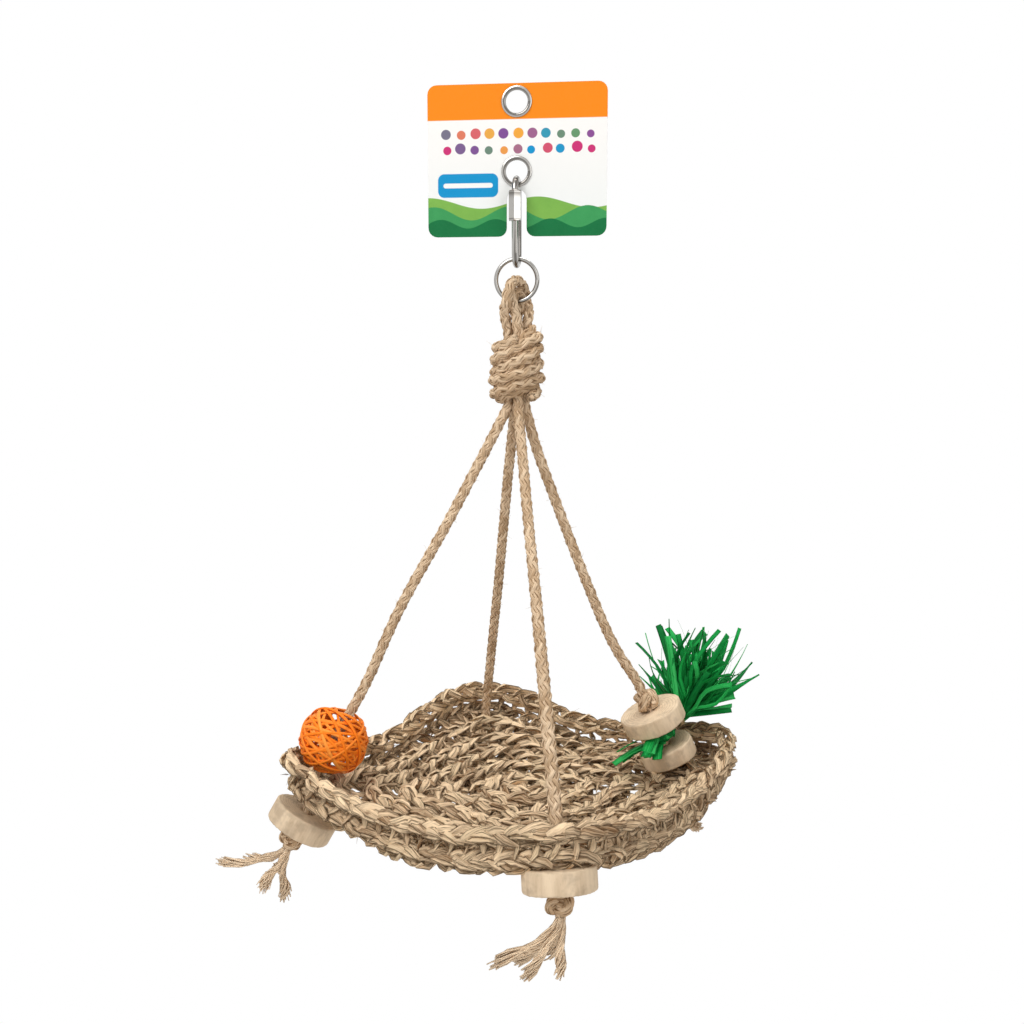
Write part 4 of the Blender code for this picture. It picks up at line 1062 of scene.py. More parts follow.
def tail_path(name):
    """The rope below its bend: through the mat, the slice and the stopper knot."""
    azimuth = CORNERS[name]
    hole = LEG_HOLES[name]
    under = polar(hole, azimuth, mat_level(hole) - PLAIT_HEIGHT / 2)
    drop, lean, length = FIT_GAP, mat_slope(hole), TAIL_ROOM + TAIL_LENGTH
    if name == "left":
        drop, lean, length = ROPE_RADIUS, LEFT_TAIL_LEAN, LEFT_TAIL_DROP + TAIL_LENGTH
    start = under - (0, 0, drop)
    return [under, start, start + polar(math.sin(lean), azimuth, -math.cos(lean)) * length]


def row_frame(name):
    """Where the slice under a corner starts, and the way its tail runs, in the part's frame."""
    points = tail_path(name)
    way = unit(points[-1] - points[-2])
    return in_row(points[-1] - way * TAIL_LENGTH), row_way(way)


def overhand_shape(matrix, phase):
    """A tightened overhand knot: the rope crosses itself three times round its own standing part."""
    spread = (TAIL_KNOT_WIDTH / 2 - ROPE_RADIUS * TAIL_KNOT_PRESS[0]) / 3
    rise = TAIL_KNOT_HEIGHT / 2 - ROPE_RADIUS * TAIL_KNOT_PRESS[1]
    t = np.linspace(TAIL_KNOT_START, TAIL_KNOT_START + math.tau * TAIL_KNOT_SPAN, TAIL_KNOT_STEPS)
    points = np.stack((spread * (np.sin(t) + 2 * np.sin(2 * t)), spread * (np.cos(t) - 2 * np.cos(2 * t)),
                       -rise * np.sin(3 * t)), axis=1)
    path = resampled(moved(points, matrix @ Matrix.Rotation(phase, 4, "Z")), TAIL_KNOT_STEP)
    tone, change = TAIL_KNOT_TONE
    return add_rope(Shape(), path, phase, tone + change * math.sin(phase), TAIL_KNOT_ROPE)


def fray_shape(start, way, sweep, seed):
    """The rope's unbraided end: its yarns part into soft bundles of fibres that spread and end blunt."""
    chance = random.Random(seed)
    shape = Shape()
    side = unit(np.cross(way, FRAY_SIDE))
    other = np.cross(way, side)
    for bundle in range(FRAY_BUNDLES):
        turn = math.tau * bundle / FRAY_BUNDLES + chance.uniform(-FRAY_TURN, FRAY_TURN)
        spread = side * math.cos(turn) + other * math.sin(turn)
        reach = FRAY_REACH * chance.uniform(*FRAY_LENGTHS)
        kink = chance.uniform(0, math.tau)
        lean = sweep * FRAY_SWEEP + spread * chance.uniform(*FRAY_SPREAD)
        for _ in range(sizes().fray_fibres // FRAY_BUNDLES):
            off = random_way(chance) * chance.uniform(0.05, 1.0) ** 0.5
            length = reach * chance.uniform(*FIBRE_LENGTHS)
            curl = chance.uniform(0, math.tau)
            beside = np.cross(way, off)
            points = []
            for t in np.linspace(0, 1, len(FRAY_TAPER)):
                wind = curl + FRAY_WIND * t
                twist = FRAY_TWIST * t
                point = start + spread * FRAY_GIRTH
                point += (way * FRAY_DROP * t + lean * t ** 1.6) * length
                girth = FRAY_GIRTH + FRAY_FLARE * t ** 2.5
                point += (off * math.cos(twist) + beside * math.sin(twist)) * girth
                point += (side * math.cos(wind) + other * math.sin(wind)) * FRAY_CURL * t
                point += (side * math.sin(kink + 8 * t) + other * math.cos(kink + 6 * t)) * FRAY_KINK * t
                points.append(point)
            thick = chance.uniform(*FRAY_FIBRE)
            shape.add_tube(points, thick * FRAY_TAPER, 4, chance.uniform(*FRAY_TONES))
    return shape


# Seagrass

def round_point(share, reach, z):
    """A point of a round by its share of the way round, counted evenly along a soft square."""
    side, rest = divmod(4 * share, 1)
    run = (2 * rest - 1) * reach
    x, y = ((run, -reach), (reach, run), (-run, reach), (-reach, -run))[int(side) % 4]
    norm = (abs(x) ** MAT_ROUNDNESS + abs(y) ** MAT_ROUNDNESS) ** (1 / MAT_ROUNDNESS)
    x, y = x * reach / norm, y * reach / norm
    return np.array(((x - y) / math.sqrt(2), (x + y) / math.sqrt(2), z + sag(x, y)))


def round_curve(reach, z, wander, seed):
    """A closed path for one round of the mat, a little uneven, as handwork is."""
    chance = random.Random(seed)
    phases = [chance.uniform(0, math.tau) for _ in range(4)]
    count = max(24, round(reach * 8 / ROUND_STEP))
    points = []
    for turn in turns(count):
        sway = math.sin(5 * turn + phases[0]) * 0.6 + math.sin(11 * turn + phases[1]) * 0.4
        lift = math.sin(4 * turn + phases[2]) * 0.5 + math.sin(9 * turn + phases[3]) * 0.5
        points.append(round_point((turn / math.tau + 0.125) % 1, reach + wander * sway,
                                  -HANG_DROP + z + wander * 0.7 * lift))
    data = bpy.data.curves.new("round_path", "CURVE")
    data.dimensions = "3D"
    spline = data.splines.new("POLY")
    spline.points.add(count - 1)
    for target, point in zip(spline.points, in_row(points)):
        target.co = (*point, 1.0)
    spline.use_cyclic_u = True
    return link("round_path", data)


def stitch_along_tree():
    """Stitches set along a closed path: each turns with it, rolls outwards, and varies a little."""
    group = bpy.data.node_groups.new("stitch_along_round", "GeometryNodeTree")
    tree = Tree(group)
    face = group.interface
    face.new_socket("Geometry", in_out="OUTPUT", socket_type="NodeSocketGeometry")
    for name, kind in (("Geometry", "Geometry"), ("Stitch", "Object"), ("Count", "Int"), ("Roll", "Float"),
                       ("Lift", "Float"), ("Sway", "Float"), ("Warp", "Float"), ("Seed", "Int"),
                       ("Finish", "Material")):
        face.new_socket(name, in_out="INPUT", socket_type=f"NodeSocket{kind}")
    given = tree.node("NodeGroupInput")
    even = tree.node("GeometryNodeResampleCurve", {"mode": "COUNT"},
                     {"Curve": given["Geometry"], "Count": given["Count"]})
    spots = tree.node("GeometryNodeCurveToPoints", {"mode": "EVALUATED"}, {"Curve": even[0]})

    def combined(operation, first, second):
        return tree.node("ShaderNodeVectorMath", {"operation": operation}, {0: first, 1: second})[0]

    def scaled(vector, scale):
        return tree.node("ShaderNodeVectorMath", {"operation": "SCALE"}, {0: vector, "Scale": scale})[0]

    def varied(low, high, seed, kind="FLOAT_VECTOR"):
        inputs = {"Min": low, "Max": high, "Seed": seed}
        return tree.node("FunctionNodeRandomValue", {"data_type": kind}, inputs)[0]

    outward = combined("CROSS_PRODUCT", spots["Tangent"], (0.0, 0.0, 1.0))
    upright = scaled((0.0, 0.0, 1.0), given["Roll"].math("COSINE", given["Roll"]))
    up = combined("ADD", upright, scaled(outward, given["Roll"].sine()))
    facing = tree.node("FunctionNodeAxesToRotation", {"primary_axis": "Z", "secondary_axis": "Y"},
                       {"Primary Axis": up, "Secondary Axis": spots["Tangent"]})[0]
    swing = scaled(varied((-1.0, -1.0, -1.0), (1.0, 1.0, 1.0), given["Seed"]), given["Sway"])
    turn = tree.node("FunctionNodeEulerToRotation", inputs={0: swing})[0]
    facing = tree.node("FunctionNodeRotateRotation", {"rotation_space": "LOCAL"},
                       {"Rotation": facing, "Rotate By": turn})[0]
    raised = tree.node("GeometryNodeSetPosition", inputs={
        "Geometry": spots["Points"], "Offset": scaled(up, given["Lift"])})[0]
    grown = varied(*STITCH_GROWTH, given["Seed"] + 7)
    source = tree.node("GeometryNodeObjectInfo", inputs={"Object": given["Stitch"]})["Geometry"]
    stitches = tree.node("GeometryNodeInstanceOnPoints", inputs={
        "Points": raised, "Instance": source, "Rotation": facing, "Scale": grown})[0]
    shade = varied(0.0, 1.0, given["Seed"] + 3, "FLOAT")
    stitches = tree.node("GeometryNodeStoreNamedAttribute", {"data_type": "FLOAT", "domain": "INSTANCE"},
                         {"Geometry": stitches, "Name": "stitch", "Value": shade})[0]
    plain = tree.node("GeometryNodeRealizeInstances", inputs={"Geometry": stitches})[0]
    where = tree.node("GeometryNodeInputPosition")[0]
    drift = tree.node("ShaderNodeTexNoise", inputs={"Vector": where, "Scale": WARP_SCALE})["Color"]
    drift = scaled(combined("SUBTRACT", drift, (0.5, 0.5, 0.5)), given["Warp"])
    bent = tree.node("GeometryNodeSetPosition", inputs={"Geometry": plain, "Offset": drift})[0]
    dressed = {"Geometry": bent, "Material": given["Finish"]}
    tree.node("NodeGroupOutput", inputs={0: tree.node("GeometryNodeSetMaterial", inputs=dressed)[0]})
    return group


def stitched(curve, tree, **settings):
    """The plain mesh that the tree makes along a curve."""
    modifier = curve.modifiers.new("stitches", "NODES")
    modifier.node_group = tree
    for item in tree.interface.items_tree:
        if item.in_out == "INPUT" and item.name in settings:
            modifier[item.identifier] = settings[item.name]
    bpy.context.view_layer.update()
    evaluated = curve.evaluated_get(bpy.context.evaluated_depsgraph_get())
    mesh = bpy.data.meshes.new_from_object(evaluated)
    bpy.data.objects.remove(curve, do_unlink=True)
    return mesh


def joined(name, meshes, *nodes):
    """Several meshes as one piece of the tray at the origin, with their map and tones."""
    pieces = [link(f"{name}_part", mesh) for mesh in meshes]
    with bpy.context.temp_override(active_object=pieces[0], selected_editable_objects=pieces):
        bpy.ops.object.join()
    whole = pieces[0]
    whole.name = name
    whole.data.name = name
    whole.data.materials.clear()
    whole.data.materials.append(finish_of("seagrass"))
    whole.data.shade_smooth()
    whole.data.set_sharp_from_angle(angle=FOLD_ANGLE)
    return ridden(whole, "hammock", "seagrass", *nodes)


def add_arm(shape, knots, radius, twist, tones):
    """One strand of a stitch: two folded blades that lie on each other and turn along their run."""
    path = smooth_path(knots, ARM_STEP)
    path = resampled(path, lengths_along(path)[-1] / ARM_SPANS)
    _, across, upward = travelling_frames(path)
    shares = np.linspace(0, 1, len(path))
    wide, thin = turned(across, upward, twist * (shares - 0.5))
    least, more = BLADE_GIRTH
    girth = radius * (least + more * np.sin(math.pi * (0.12 + 0.80 * shares)))[:, None]
    for layer, tone in zip((1, -1), tones):
        middle = path + (thin * BLADE_LIFT + wide * BLADE_SLIP) * layer * girth
        edge = wide * girth * BLADE_WIDTH
        fold = thin * girth * BLADE_FOLD
        rings = np.stack((middle + edge, middle + fold, middle - edge, middle - fold), axis=1)
        shape.add_rings(rings, lengths_along(path), tone)


def vee_stitch(name, spread):
    """The stitch of a plait: two arms that open forwards and dive under the next stitch."""
    pitch = sizes().stitch_pitch
    radius = sizes().seagrass_strand
    out = sizes().stitch_width * spread / 2 - radius
    aside, ahead = VEE_SHIFT
    shape = Shape()
    for side, tones in VEE_TONES.items():
        knots = [(side * out * x + aside, pitch * (y + ahead * side), VEE_RISE * z) for x, y, z in VEE_ARM]
        add_arm(shape, knots, radius, VEE_TWIST * side, tones)
    return shape.make(name, "seagrass")


def post_stitch(name, reach):
    """A post between two rounds: a strand across the path, bowed to one side."""
    radius = sizes().seagrass_strand * POST_RADIUS
    aside, lift, winding = POST_BOW
    knots = [(reach * t, radius * aside * (1 - t * t), radius * lift * math.sin(winding * t))
             for t in np.linspace(-1, 1, 5)]
    shape = Shape()
    add_arm(shape, knots, radius, POST_TWIST, POST_TONES)
    return shape.make(name, "seagrass")


def add_blade(shape, chance, root, way, droop, length, width):
    """One loose blade, flat and drawn to a point."""
    points = [in_row(root + way * length * t + DOWN * droop * length * t * t) for t in BLADE_STEPS]
    shape.add_tube(points, width * BLADE_TAPER, 6, chance.random(), BLADE_FLATNESS, chance.uniform(0, 3))


def add_blades(shape, count, seed):
    """Loose blade ends that stand off the rim and the edge."""
    chance = random.Random(seed)
    for _ in range(count):
        share = chance.random()
        reach = MAT_REACH + chance.uniform(-0.003, 0.005)
        root = round_point(share, reach, -HANG_DROP + chance.uniform(-0.003, RIM_RISE + 0.004))
        out = unit((root[0], root[1], 0))
        run = np.cross((0, 0, 1), out) * chance.choice((-1, 1))
        way = unit(run * chance.uniform(0.4, 1.0) + out * chance.uniform(0.1, 0.55)
                   - DOWN * chance.uniform(-0.45, 0.35))
        add_blade(shape, chance, root, way, chance.uniform(0.0, 0.35), chance.uniform(0.004, 0.011),
                  chance.uniform(0.0003, 0.0007))


def add_tangle(shape, count, seed):
    """Frayed blades that lie over the rounds of the floor."""
    chance = random.Random(seed)
    for _ in range(count):
        reach = ROUND_PITCH * (MAT_ROUNDS - 0.3) * math.sqrt(chance.uniform(0.02, 1.0))
        root = round_point(chance.random(), reach, -HANG_DROP + chance.uniform(0.0020, 0.0046))
        way = unit(polar(1, chance.uniform(0, math.tau), chance.uniform(0.0, 0.42)))
        add_blade(shape, chance, root, way, chance.uniform(0.10, 0.55), chance.uniform(0.006, 0.016),
                  chance.uniform(0.0005, 0.0013))


# Slices, ball and raffia

def slice_piece(name, body, node, matrix, diameter, thickness, phase):
    """A sawn slice of branch, bored for the rope: not quite round, with eased edges and saw marks."""
    half = thickness / 2
    bore = ROPE_RADIUS + 2 * FIT_GAP
    rings = []
    for angle in turns(SLICE_COLUMNS):
        bends = sum(depth * math.cos(count * angle + part * phase) for depth, count, part in SLICE_BENDS)
        cuts = sum(depth * math.sin(count * angle + part * phase) for depth, count, part in SLICE_CUTS)
        rim = diameter / 2 * (SLICE_SIZE + bends + cuts)
        ease = SLICE_EASE * (1 + 0.25 * math.sin(4 * angle + 2 * phase))
        upper = [(bore, half - SLICE_BORE_EASE)]
        upper += [(bore + (rim - ease - bore) * t, half) for t in SLICE_FACE]
        upper += [(rim - ease * (1 - math.sin(a)), half - ease * (1 - math.cos(a)))
                  for a in np.linspace(0, math.pi / 2, 5)]
        profile = [(r, -z) for r, z in upper] + upper[::-1]
        rings.append([polar(r, angle, z + SAW_MARK * math.sin(r * math.cos(angle - phase) * SAW_RATE))
                      for r, z in profile])
    rings = np.array(rings)
    points = rings.reshape(-1, 3)
    shape = Shape()
    placed = moved(points, matrix).reshape(rings.shape)
    shape.add_rings(placed, np.arange(SLICE_COLUMNS) * 0.001, closed=True)
    piece = shape.make(name, "pale_wood", SLICE_CREASE)
    grain = piece.data.attributes.new("grain", "FLOAT_VECTOR", "POINT")
    pith = polar(diameter * SLICE_PITH, phase, 0.05 * phase)
    grain.data.foreach_set("vector", (points - pith).astype(np.float32).ravel())
    ridden(piece, body, "pale_wood", node)


def ball_shape(matrix):
    """Strips of rattan wound on great circles that keep clear of the rope's two holes."""
    chance = random.Random(SEEDS["ball"])
    shape = Shape()
    count = sizes().ball_strips
    half, thick = BALL_STRIP
    low, high = BALL_TILTS
    for number in range(count):
        tilt = low + (high - low) * (number + 0.5) / count
        turn = GOLDEN_ANGLE * number + chance.uniform(-BALL_STRAY, BALL_STRAY)
        lift = BALL_RADIUS - thick - BALL_DEPTH * chance.random()
        width = half * chance.uniform(*BALL_WIDTHS)
        profile = [(lift + thick * math.sin(a), width * math.cos(a)) for a in turns(STRIP_SIDES)]
        circle = along((0, 0, 0), polar(math.cos(tilt), turn, math.sin(tilt)))
        shape.add_revolved(profile, BALL_COLUMNS, matrix @ circle, chance.random())
    return shape


def add_ribbon(shape, points, width, tone, turn, cut=True):
    """A ribbon of raffia: flat, thin, narrowing to its end or cut square."""
    path = resampled(smooth_path(points, 0.003), RIBBON_STEP)
    shares = np.linspace(0, 1, len(path))
    taper = np.where(shares < 0.15, 0.7 + 2 * shares, 1.0)
    if not cut:
        taper = taper * np.clip((1.02 - shares) / 0.45, 0.22, 1.0)
    shape.add_tube(path, width / 2 * taper, 6, tone, RIBBON_THINNESS, turn)


def past_slice(point, centre, way):
    """A point of the brush, kept outside the edge of the slice above the hank."""
    height = (point - centre) @ way
    radial = point - centre - way * height
    short = BRUSH_CLEAR - np.linalg.norm(radial)
    return point + unit(radial) * short if short > 0 and height < BRUSH_FREE else point


def raffia_shape(centre, way, out, brush):
    """The hank: folded round the rope, drawn through its tie, and spread into a brush."""
    chance = random.Random(SEEDS["raffia"])
    shape = Shape()
    side = unit(np.cross(way, out))
    tie = centre + out * TIE_REACH

    def round_hank(turn):
        return out * math.cos(turn) + side * math.sin(turn)

    for number in range(FOLD_RIBBONS):
        turn = math.tau * number / FOLD_RIBBONS + chance.uniform(-0.2, 0.2)
        level = way * chance.uniform(-FOLD_LEVEL, FOLD_LEVEL)
        reach = chance.uniform(*FOLD_REACH)
        points = [centre + level * (1 - 0.2 * t) + round_hank(turn + t) * reach
                  for t in np.linspace(-FOLD_ARC, FOLD_ARC, 7)]
        add_ribbon(shape, points, chance.uniform(*FOLD_WIDTH), chance.random(), math.pi / 2)
    for _ in range(NECK_RIBBONS):
        aside = side * chance.uniform(-NECK_SPREAD, NECK_SPREAD)
        aside = aside + way * chance.uniform(-NECK_SPREAD, NECK_SPREAD)
        points = [centre + out * 0.0072 + aside * 2.0, centre + out * 0.012 + aside * 1.3, tie + aside,
                  tie + out * 0.004 + aside * 1.1]
        add_ribbon(shape, points, NECK_WIDTH, chance.random(), chance.uniform(0, 3))
    for _ in range(sizes().raffia_ribbons):
        swing = chance.gauss(0, BRUSH_SWING)
        rise = chance.gauss(0, BRUSH_RISE)
        aim = unit(brush + side * swing * 1.15 + np.cross(side, brush) * rise)
        length = chance.uniform(*BRUSH_LENGTH) * (1.0 if abs(swing) < 0.6 else 0.8)
        root = tie + random_way(chance) * 0.0020
        bow = unit(np.cross(aim, random_way(chance))) * length * chance.uniform(*BRUSH_BOW)
        points = [root + aim * length * 0.22 + out * 0.0025]
        points += [root + out * 0.003 + aim * length * t + bow * math.sin(math.pi * t)
                   + DOWN * BRUSH_DROOP * length * t * t for t in (0.5, 0.78, 1.0)]
        points = [root + out * 0.001] + [past_slice(point, centre, way) for point in points]
        add_ribbon(shape, points, chance.uniform(*BRUSH_WIDTH), chance.random(), chance.uniform(0, math.pi),
                   chance.random() < BRUSH_CUT)
    for _ in range(LOW_RIBBONS):
        aim = unit(out + side * chance.gauss(0.0, 0.34) - DOWN * chance.uniform(-0.44, 0.06))
        length = chance.uniform(*LOW_LENGTH)
        root = tie + out * LOW_ROOT
        points = [tie, root, root + aim * length * 0.5, root + aim * length]
        add_ribbon(shape, points, chance.uniform(*LOW_WIDTH), chance.random(), chance.uniform(0, math.pi))
    for _ in range(LEAF_RIBBONS):
        turn = chance.choice(LEAF_TURNS) + chance.gauss(0, 0.07)
        aim = round_hank(turn)
        level = way * chance.uniform(-LEAF_LEVEL, LEAF_LEVEL)
        length = chance.uniform(*LEAF_LENGTH)
        root = centre + level + aim * LEAF_ROOT
        points = [root, root + aim * length * 0.5 + way * 0.001, root + level * 0.2 + aim * length]
        add_ribbon(shape, points, chance.uniform(*LEAF_WIDTH), chance.uniform(0.5, 1.0),
                   chance.uniform(-0.4, 0.4))
    return shape


def tie_shape(place, way, out):
    """A few turns of fibre round the neck, with two short ends."""
    chance = random.Random(SEEDS["tie"])
    side = np.cross(way, out)
    shape = Shape()
    points = []
    for t in np.linspace(0, 1, TIE_STEPS):
        turn = math.tau * TIE_TURNS * t
        girth = TIE_GIRTH[0] + TIE_GIRTH[1] * math.sin(9 * t)
        around = way * math.cos(turn) + side * math.sin(turn)
        points.append(place + out * TIE_WIDTH * (t - 0.5) + around * girth)
    shape.add_tube(points, TIE_FIBRE, 6, TIE_TONE)
    for end, aim in ((points[0], way + side * 0.6), (points[-1], way * 0.6 - side + out * 0.8)):
        ends = [end + unit(aim) * TIE_END * t + DOWN * TIE_DROOP * t * t for t in (0, 0.4, 0.7, 1)]
        shape.add_tube(ends, TIE_TAPER, 5, chance.random())
    return shape


# Metal of the hanging gear

HOLE_RADIUS = 0.0059
EYELETS = {"eyelet_top": -0.0059, "eyelet_lower": -0.0422}
EYELET_COLUMNS = 72
EYELET_SIDE = (             # radius and distance from the card's middle, from the barrel over the flange
    (0.0064, 0.00070), (0.00815, 0.00070), (0.00825, 0.00080), (0.00814, 0.00099), (0.00785, 0.00113),
    (0.00735, 0.00120), (0.00680, 0.00118), (0.00640, 0.00108), (0.00612, 0.00090), (0.00596, 0.00062),
    (HOLE_RADIUS, 0.00030))
LINK_BOW = 0.00675
LINK_WIRE = 0.00175
LINK_ARC_STEPS = 33
LINK_STEP = 0.0006
LINK_SIDES = 20
LINK_ARCS = {"top": -0.0528, "low": -0.0848}
LINK_GAP_ENDS = (-0.0543, -0.0593)
NUT_ENDS = (-0.0528, -0.0688)
NUT_FLAT = 0.0031
NUT_COLUMNS = 48
NUT_STEPS = (0.0, 0.0002, 0.0005, 0.0009, 0.0014)
RING_RADIUS = 0.0113
RING_WIRE = 0.0012
RING_SIDES = 20
RING_COLUMNS = 96
RING_CENTRE = -0.0996
METAL_CREASE = math.radians(60)
NUT_CREASE = math.radians(18)
FACING_FRONT = Matrix.Rotation(math.pi / 2, 4, "X")


def eyelet_shape(z):
    """A set eyelet: barrel, and a rolled flange on each side of the card."""
    profile = EYELET_SIDE + tuple((r, -y) for r, y in reversed(EYELET_SIDE))
    shape = Shape()
    shape.add_revolved(profile[::-1], EYELET_COLUMNS, Matrix.Translation((0, 0, z)) @ FACING_FRONT)
    return shape


def link_shape():
    """The bent wire of the link, from below the gap round to above it."""
    points = [(0, -LINK_BOW, LINK_GAP_ENDS[1])]
    for z, start in ((LINK_ARCS["low"], math.pi), (LINK_ARCS["top"], 0)):
        points += [(0, LINK_BOW * math.cos(a), z + LINK_BOW * math.sin(a))
                   for a in np.linspace(start, start + math.pi, LINK_ARC_STEPS)]
    points.append((0, -LINK_BOW, LINK_GAP_ENDS[0]))
    shape = Shape()
    shape.add_tube(resampled(points, LINK_STEP), LINK_WIRE, LINK_SIDES)
    return shape


def nut_shape():
    """A hexagonal sleeve whose corners are turned down at both ends, bored for the wire."""
    high, low = NUT_ENDS
    bore = LINK_WIRE + FIT_GAP
    levels = [low + step for step in NUT_STEPS] + [high - step for step in reversed(NUT_STEPS)]
    limits = [NUT_FLAT * 0.965 + step * 1.1 for step in NUT_STEPS]
    limits += limits[::-1]
    rings = []
    for angle in turns(NUT_COLUMNS):
        beside = (angle + math.pi / 6) % (math.pi / 3) - math.pi / 6
        hexagon = NUT_FLAT / math.cos(beside)
        profile = [(bore, low)] + [(min(hexagon, limit), level) for limit, level in zip(limits, levels)]
        profile.append((bore, high))
        rings.append([(r * math.cos(angle), -LINK_BOW + r * math.sin(angle), z) for r, z in profile])
    shape = Shape()
    shape.add_rings(rings, np.arange(NUT_COLUMNS) * 0.0004, closed=True)
    return shape


def ring_shape():
    profile = [(RING_RADIUS + RING_WIRE * math.cos(a), RING_WIRE * math.sin(a))
               for a in turns(RING_SIDES)]
    shape = Shape()
    shape.add_revolved(profile, RING_COLUMNS, Matrix.Translation((0, 0, RING_CENTRE)) @ FACING_FRONT)
    return shape


# Operators

class HAMMOCK_OT_stage(bpy.types.Operator):
    """Set the camera at the photograph's angle, the soft lights and the pale floor."""

    bl_idname = "hammock.stage"
    bl_label = "Stage"

    def execute(self, context):
        scene = context.scene
        scene.view_settings.view_transform = "Standard"
        camera = bpy.data.cameras.new("camera")
        camera.sensor_width = CAMERA_SENSOR
        camera.lens = CAMERA_LENS
        placed = link("camera", camera)
        placed.location = CAMERA_PLACE
        placed.rotation_euler = (math.pi / 2 - CAMERA_PITCH, 0, CAMERA_AZIMUTH)
        scene.camera = placed
        for name, place, size, power in LAMPS:
            lamp = bpy.data.lights.new(name, "AREA")
            lamp.shape = "DISK"
            lamp.size = size
            lamp.energy = power
            hung = link(name, lamp)
            hung.location = place
            aim = Vector(LAMP_AIM) - Vector(place)
            hung.rotation_euler = aim.to_track_quat("-Z", "Y").to_euler()
        self.light_world(scene)
        self.lay_floor()
        return {"FINISHED"}

    @staticmethod
    def seen(tree):
        """1 for rays that show the background itself, 0 for rays that light the object."""
        path = tree.node("ShaderNodeLightPath")
        return path["Is Camera Ray"].larger(path["Is Glossy Ray"]).larger(path["Is Transmission Ray"])

    def light_world(self, scene):
        world = bpy.data.worlds.new("studio")
        world.use_nodes = True
        scene.world = world
        tree = Tree(world.node_tree)
        strength = self.seen(tree) * (1.0 - WORLD_LIGHT) + WORLD_LIGHT
        glow = tree.node("ShaderNodeBackground", inputs={"Color": rgba("white"), "Strength": strength})[0]
        tree.node("ShaderNodeOutputWorld", inputs={"Surface": glow})

    def lay_floor(self):
        mesh = bpy.data.meshes.new("floor")
        square = ((-1, -1), (1, -1), (1, 1), (-1, 1))
        corners = [(x * FLOOR_REACH, y * FLOOR_REACH, FLOOR) for x, y in square]
        mesh.from_pydata(corners, [], [(0, 1, 2, 3)])
        finish = Finish("pale_floor")
        matt = finish.node("ShaderNodeBsdfDiffuse", inputs={"Color": rgba("floor")})[0]
        white = finish.node("ShaderNodeEmission", inputs={"Color": rgba("white"), "Strength": 1.0})[0]
        both = finish.node("ShaderNodeMixShader", inputs={0: self.seen(finish), 1: matt, 2: white})[0]
        finish.node("ShaderNodeOutputMaterial", inputs={"Surface": both})
        mesh.materials.append(finish.material)
        link("floor", mesh)


class HAMMOCK_OT_hanging_gear(bpy.types.Operator):
    """Dress the card, and make the eyelets, the quick link with its sleeve nut, and the ring."""

    bl_idname = "hammock.hanging_gear"
    bl_label = "Card, link and ring"

    def execute(self, context):
        card = frame["nodes"]["header_card"]
        card.data.materials.clear()
        card.data.materials.append(finish_of("printed_card"))
        for name, z in EYELETS.items():
            eyelet_shape(z).put(f"{name}_rolled", "card", "nickel", name, sharp=METAL_CREASE)
        link_shape().put("link_wire", "link", "nickel", "quick_link", sharp=METAL_CREASE)
        nut_shape().put("link_nut", "sleeve", "nickel", "link_sleeve_nut", sharp=NUT_CREASE)
        ring_shape().put("ring_wire", "ring", "nickel", "hang_ring")
        return {"FINISHED"}


class HAMMOCK_OT_ropes(bpy.types.Operator):
    """Lay the ropes: loops over the ring, the wrapped knot, four legs with their knots and frayed ends."""

    bl_idname = "hammock.ropes"
    bl_label = "Ropes and knots"

    def execute(self, context):
        ends = {"outer": (CORNERS["left"] - math.tau, CORNERS["right"]),
                "inner": (CORNERS["front"], CORNERS["back"])}
        for phase, (name, corners) in enumerate(ends.items()):
            loop = softened(loop_path(LOOP_ARCHES[name], *corners), LOOP_EASING)
            add_rope(Shape(), loop, phase).put(f"loop_{name}", "hammock", "jute", f"rope_loop_{name}")
        wraps = softened(wrap_path(), WRAP_EASING)
        under = softened(wrap_path(UNDER_WRAP, math.pi), WRAP_EASING)
        shape = add_rope(Shape(), wraps, WRAP_PHASE)
        add_rope(shape, under, UNDER_PHASE, UNDER_TONE)
        shape.put("knot_wrapping", "hammock", "jute", "top_knot")
        hairs = Shape()
        add_hairs(hairs, wraps, 2 * sizes().rope_hairs, SEEDS["knot_hairs"])
        for number, name in enumerate(CORNERS):
            self.lay_leg(number, name, hairs)
        place = along(on_axis("upper_slice_spin", TOY_KNOT_LIFT), JOINTS["upper_slice_spin"]["axis"])
        overhand_shape(place, TOY_KNOT_PHASE).put("leg_knot_right", "hammock", "jute", "rope_knot_right")
        hairs.put("rope_hairs", "hammock", "jute")
        return {"FINISHED"}

    def lay_leg(self, number, name, hairs):
        """One leg with its stopper knot and frayed end."""
        path = softened(leg_path(name), LEG_EASING)
        slack = np.interp(np.linspace(0, 1, len(path)), *LEG_SLACK)
        shape = add_rope(Shape(), path, LEG_PHASE * number, scale=1 + LEG_SWELL[name] * slack)
        leg = shape.put(f"leg_{name}", "hammock", "jute", f"rope_leg_{name}")
        add_hairs(hairs, path, sizes().rope_hairs, SEEDS["leg_hairs"] + number)
        start, way = row_frame(name)
        knot = start + way * (2 * FIT_GAP + DISC_THICKNESS + TAIL_KNOT_HEIGHT / 2)
        first, step = TAIL_KNOT_PHASE
        shape = overhand_shape(along(knot, way), first + step * number)
        stopper = shape.put(f"stopper_{name}", "hammock", "jute", f"stopper_knot_{name}")
        end = start + way * (TAIL_LENGTH + FIT_GAP)
        shape = fray_shape(end, way, row_way(FRAY_SWEEPS[name]), SEEDS["frays"] + number)
        fray = shape.put(f"fray_{name}", "hammock", "jute", f"frayed_end_{name}")


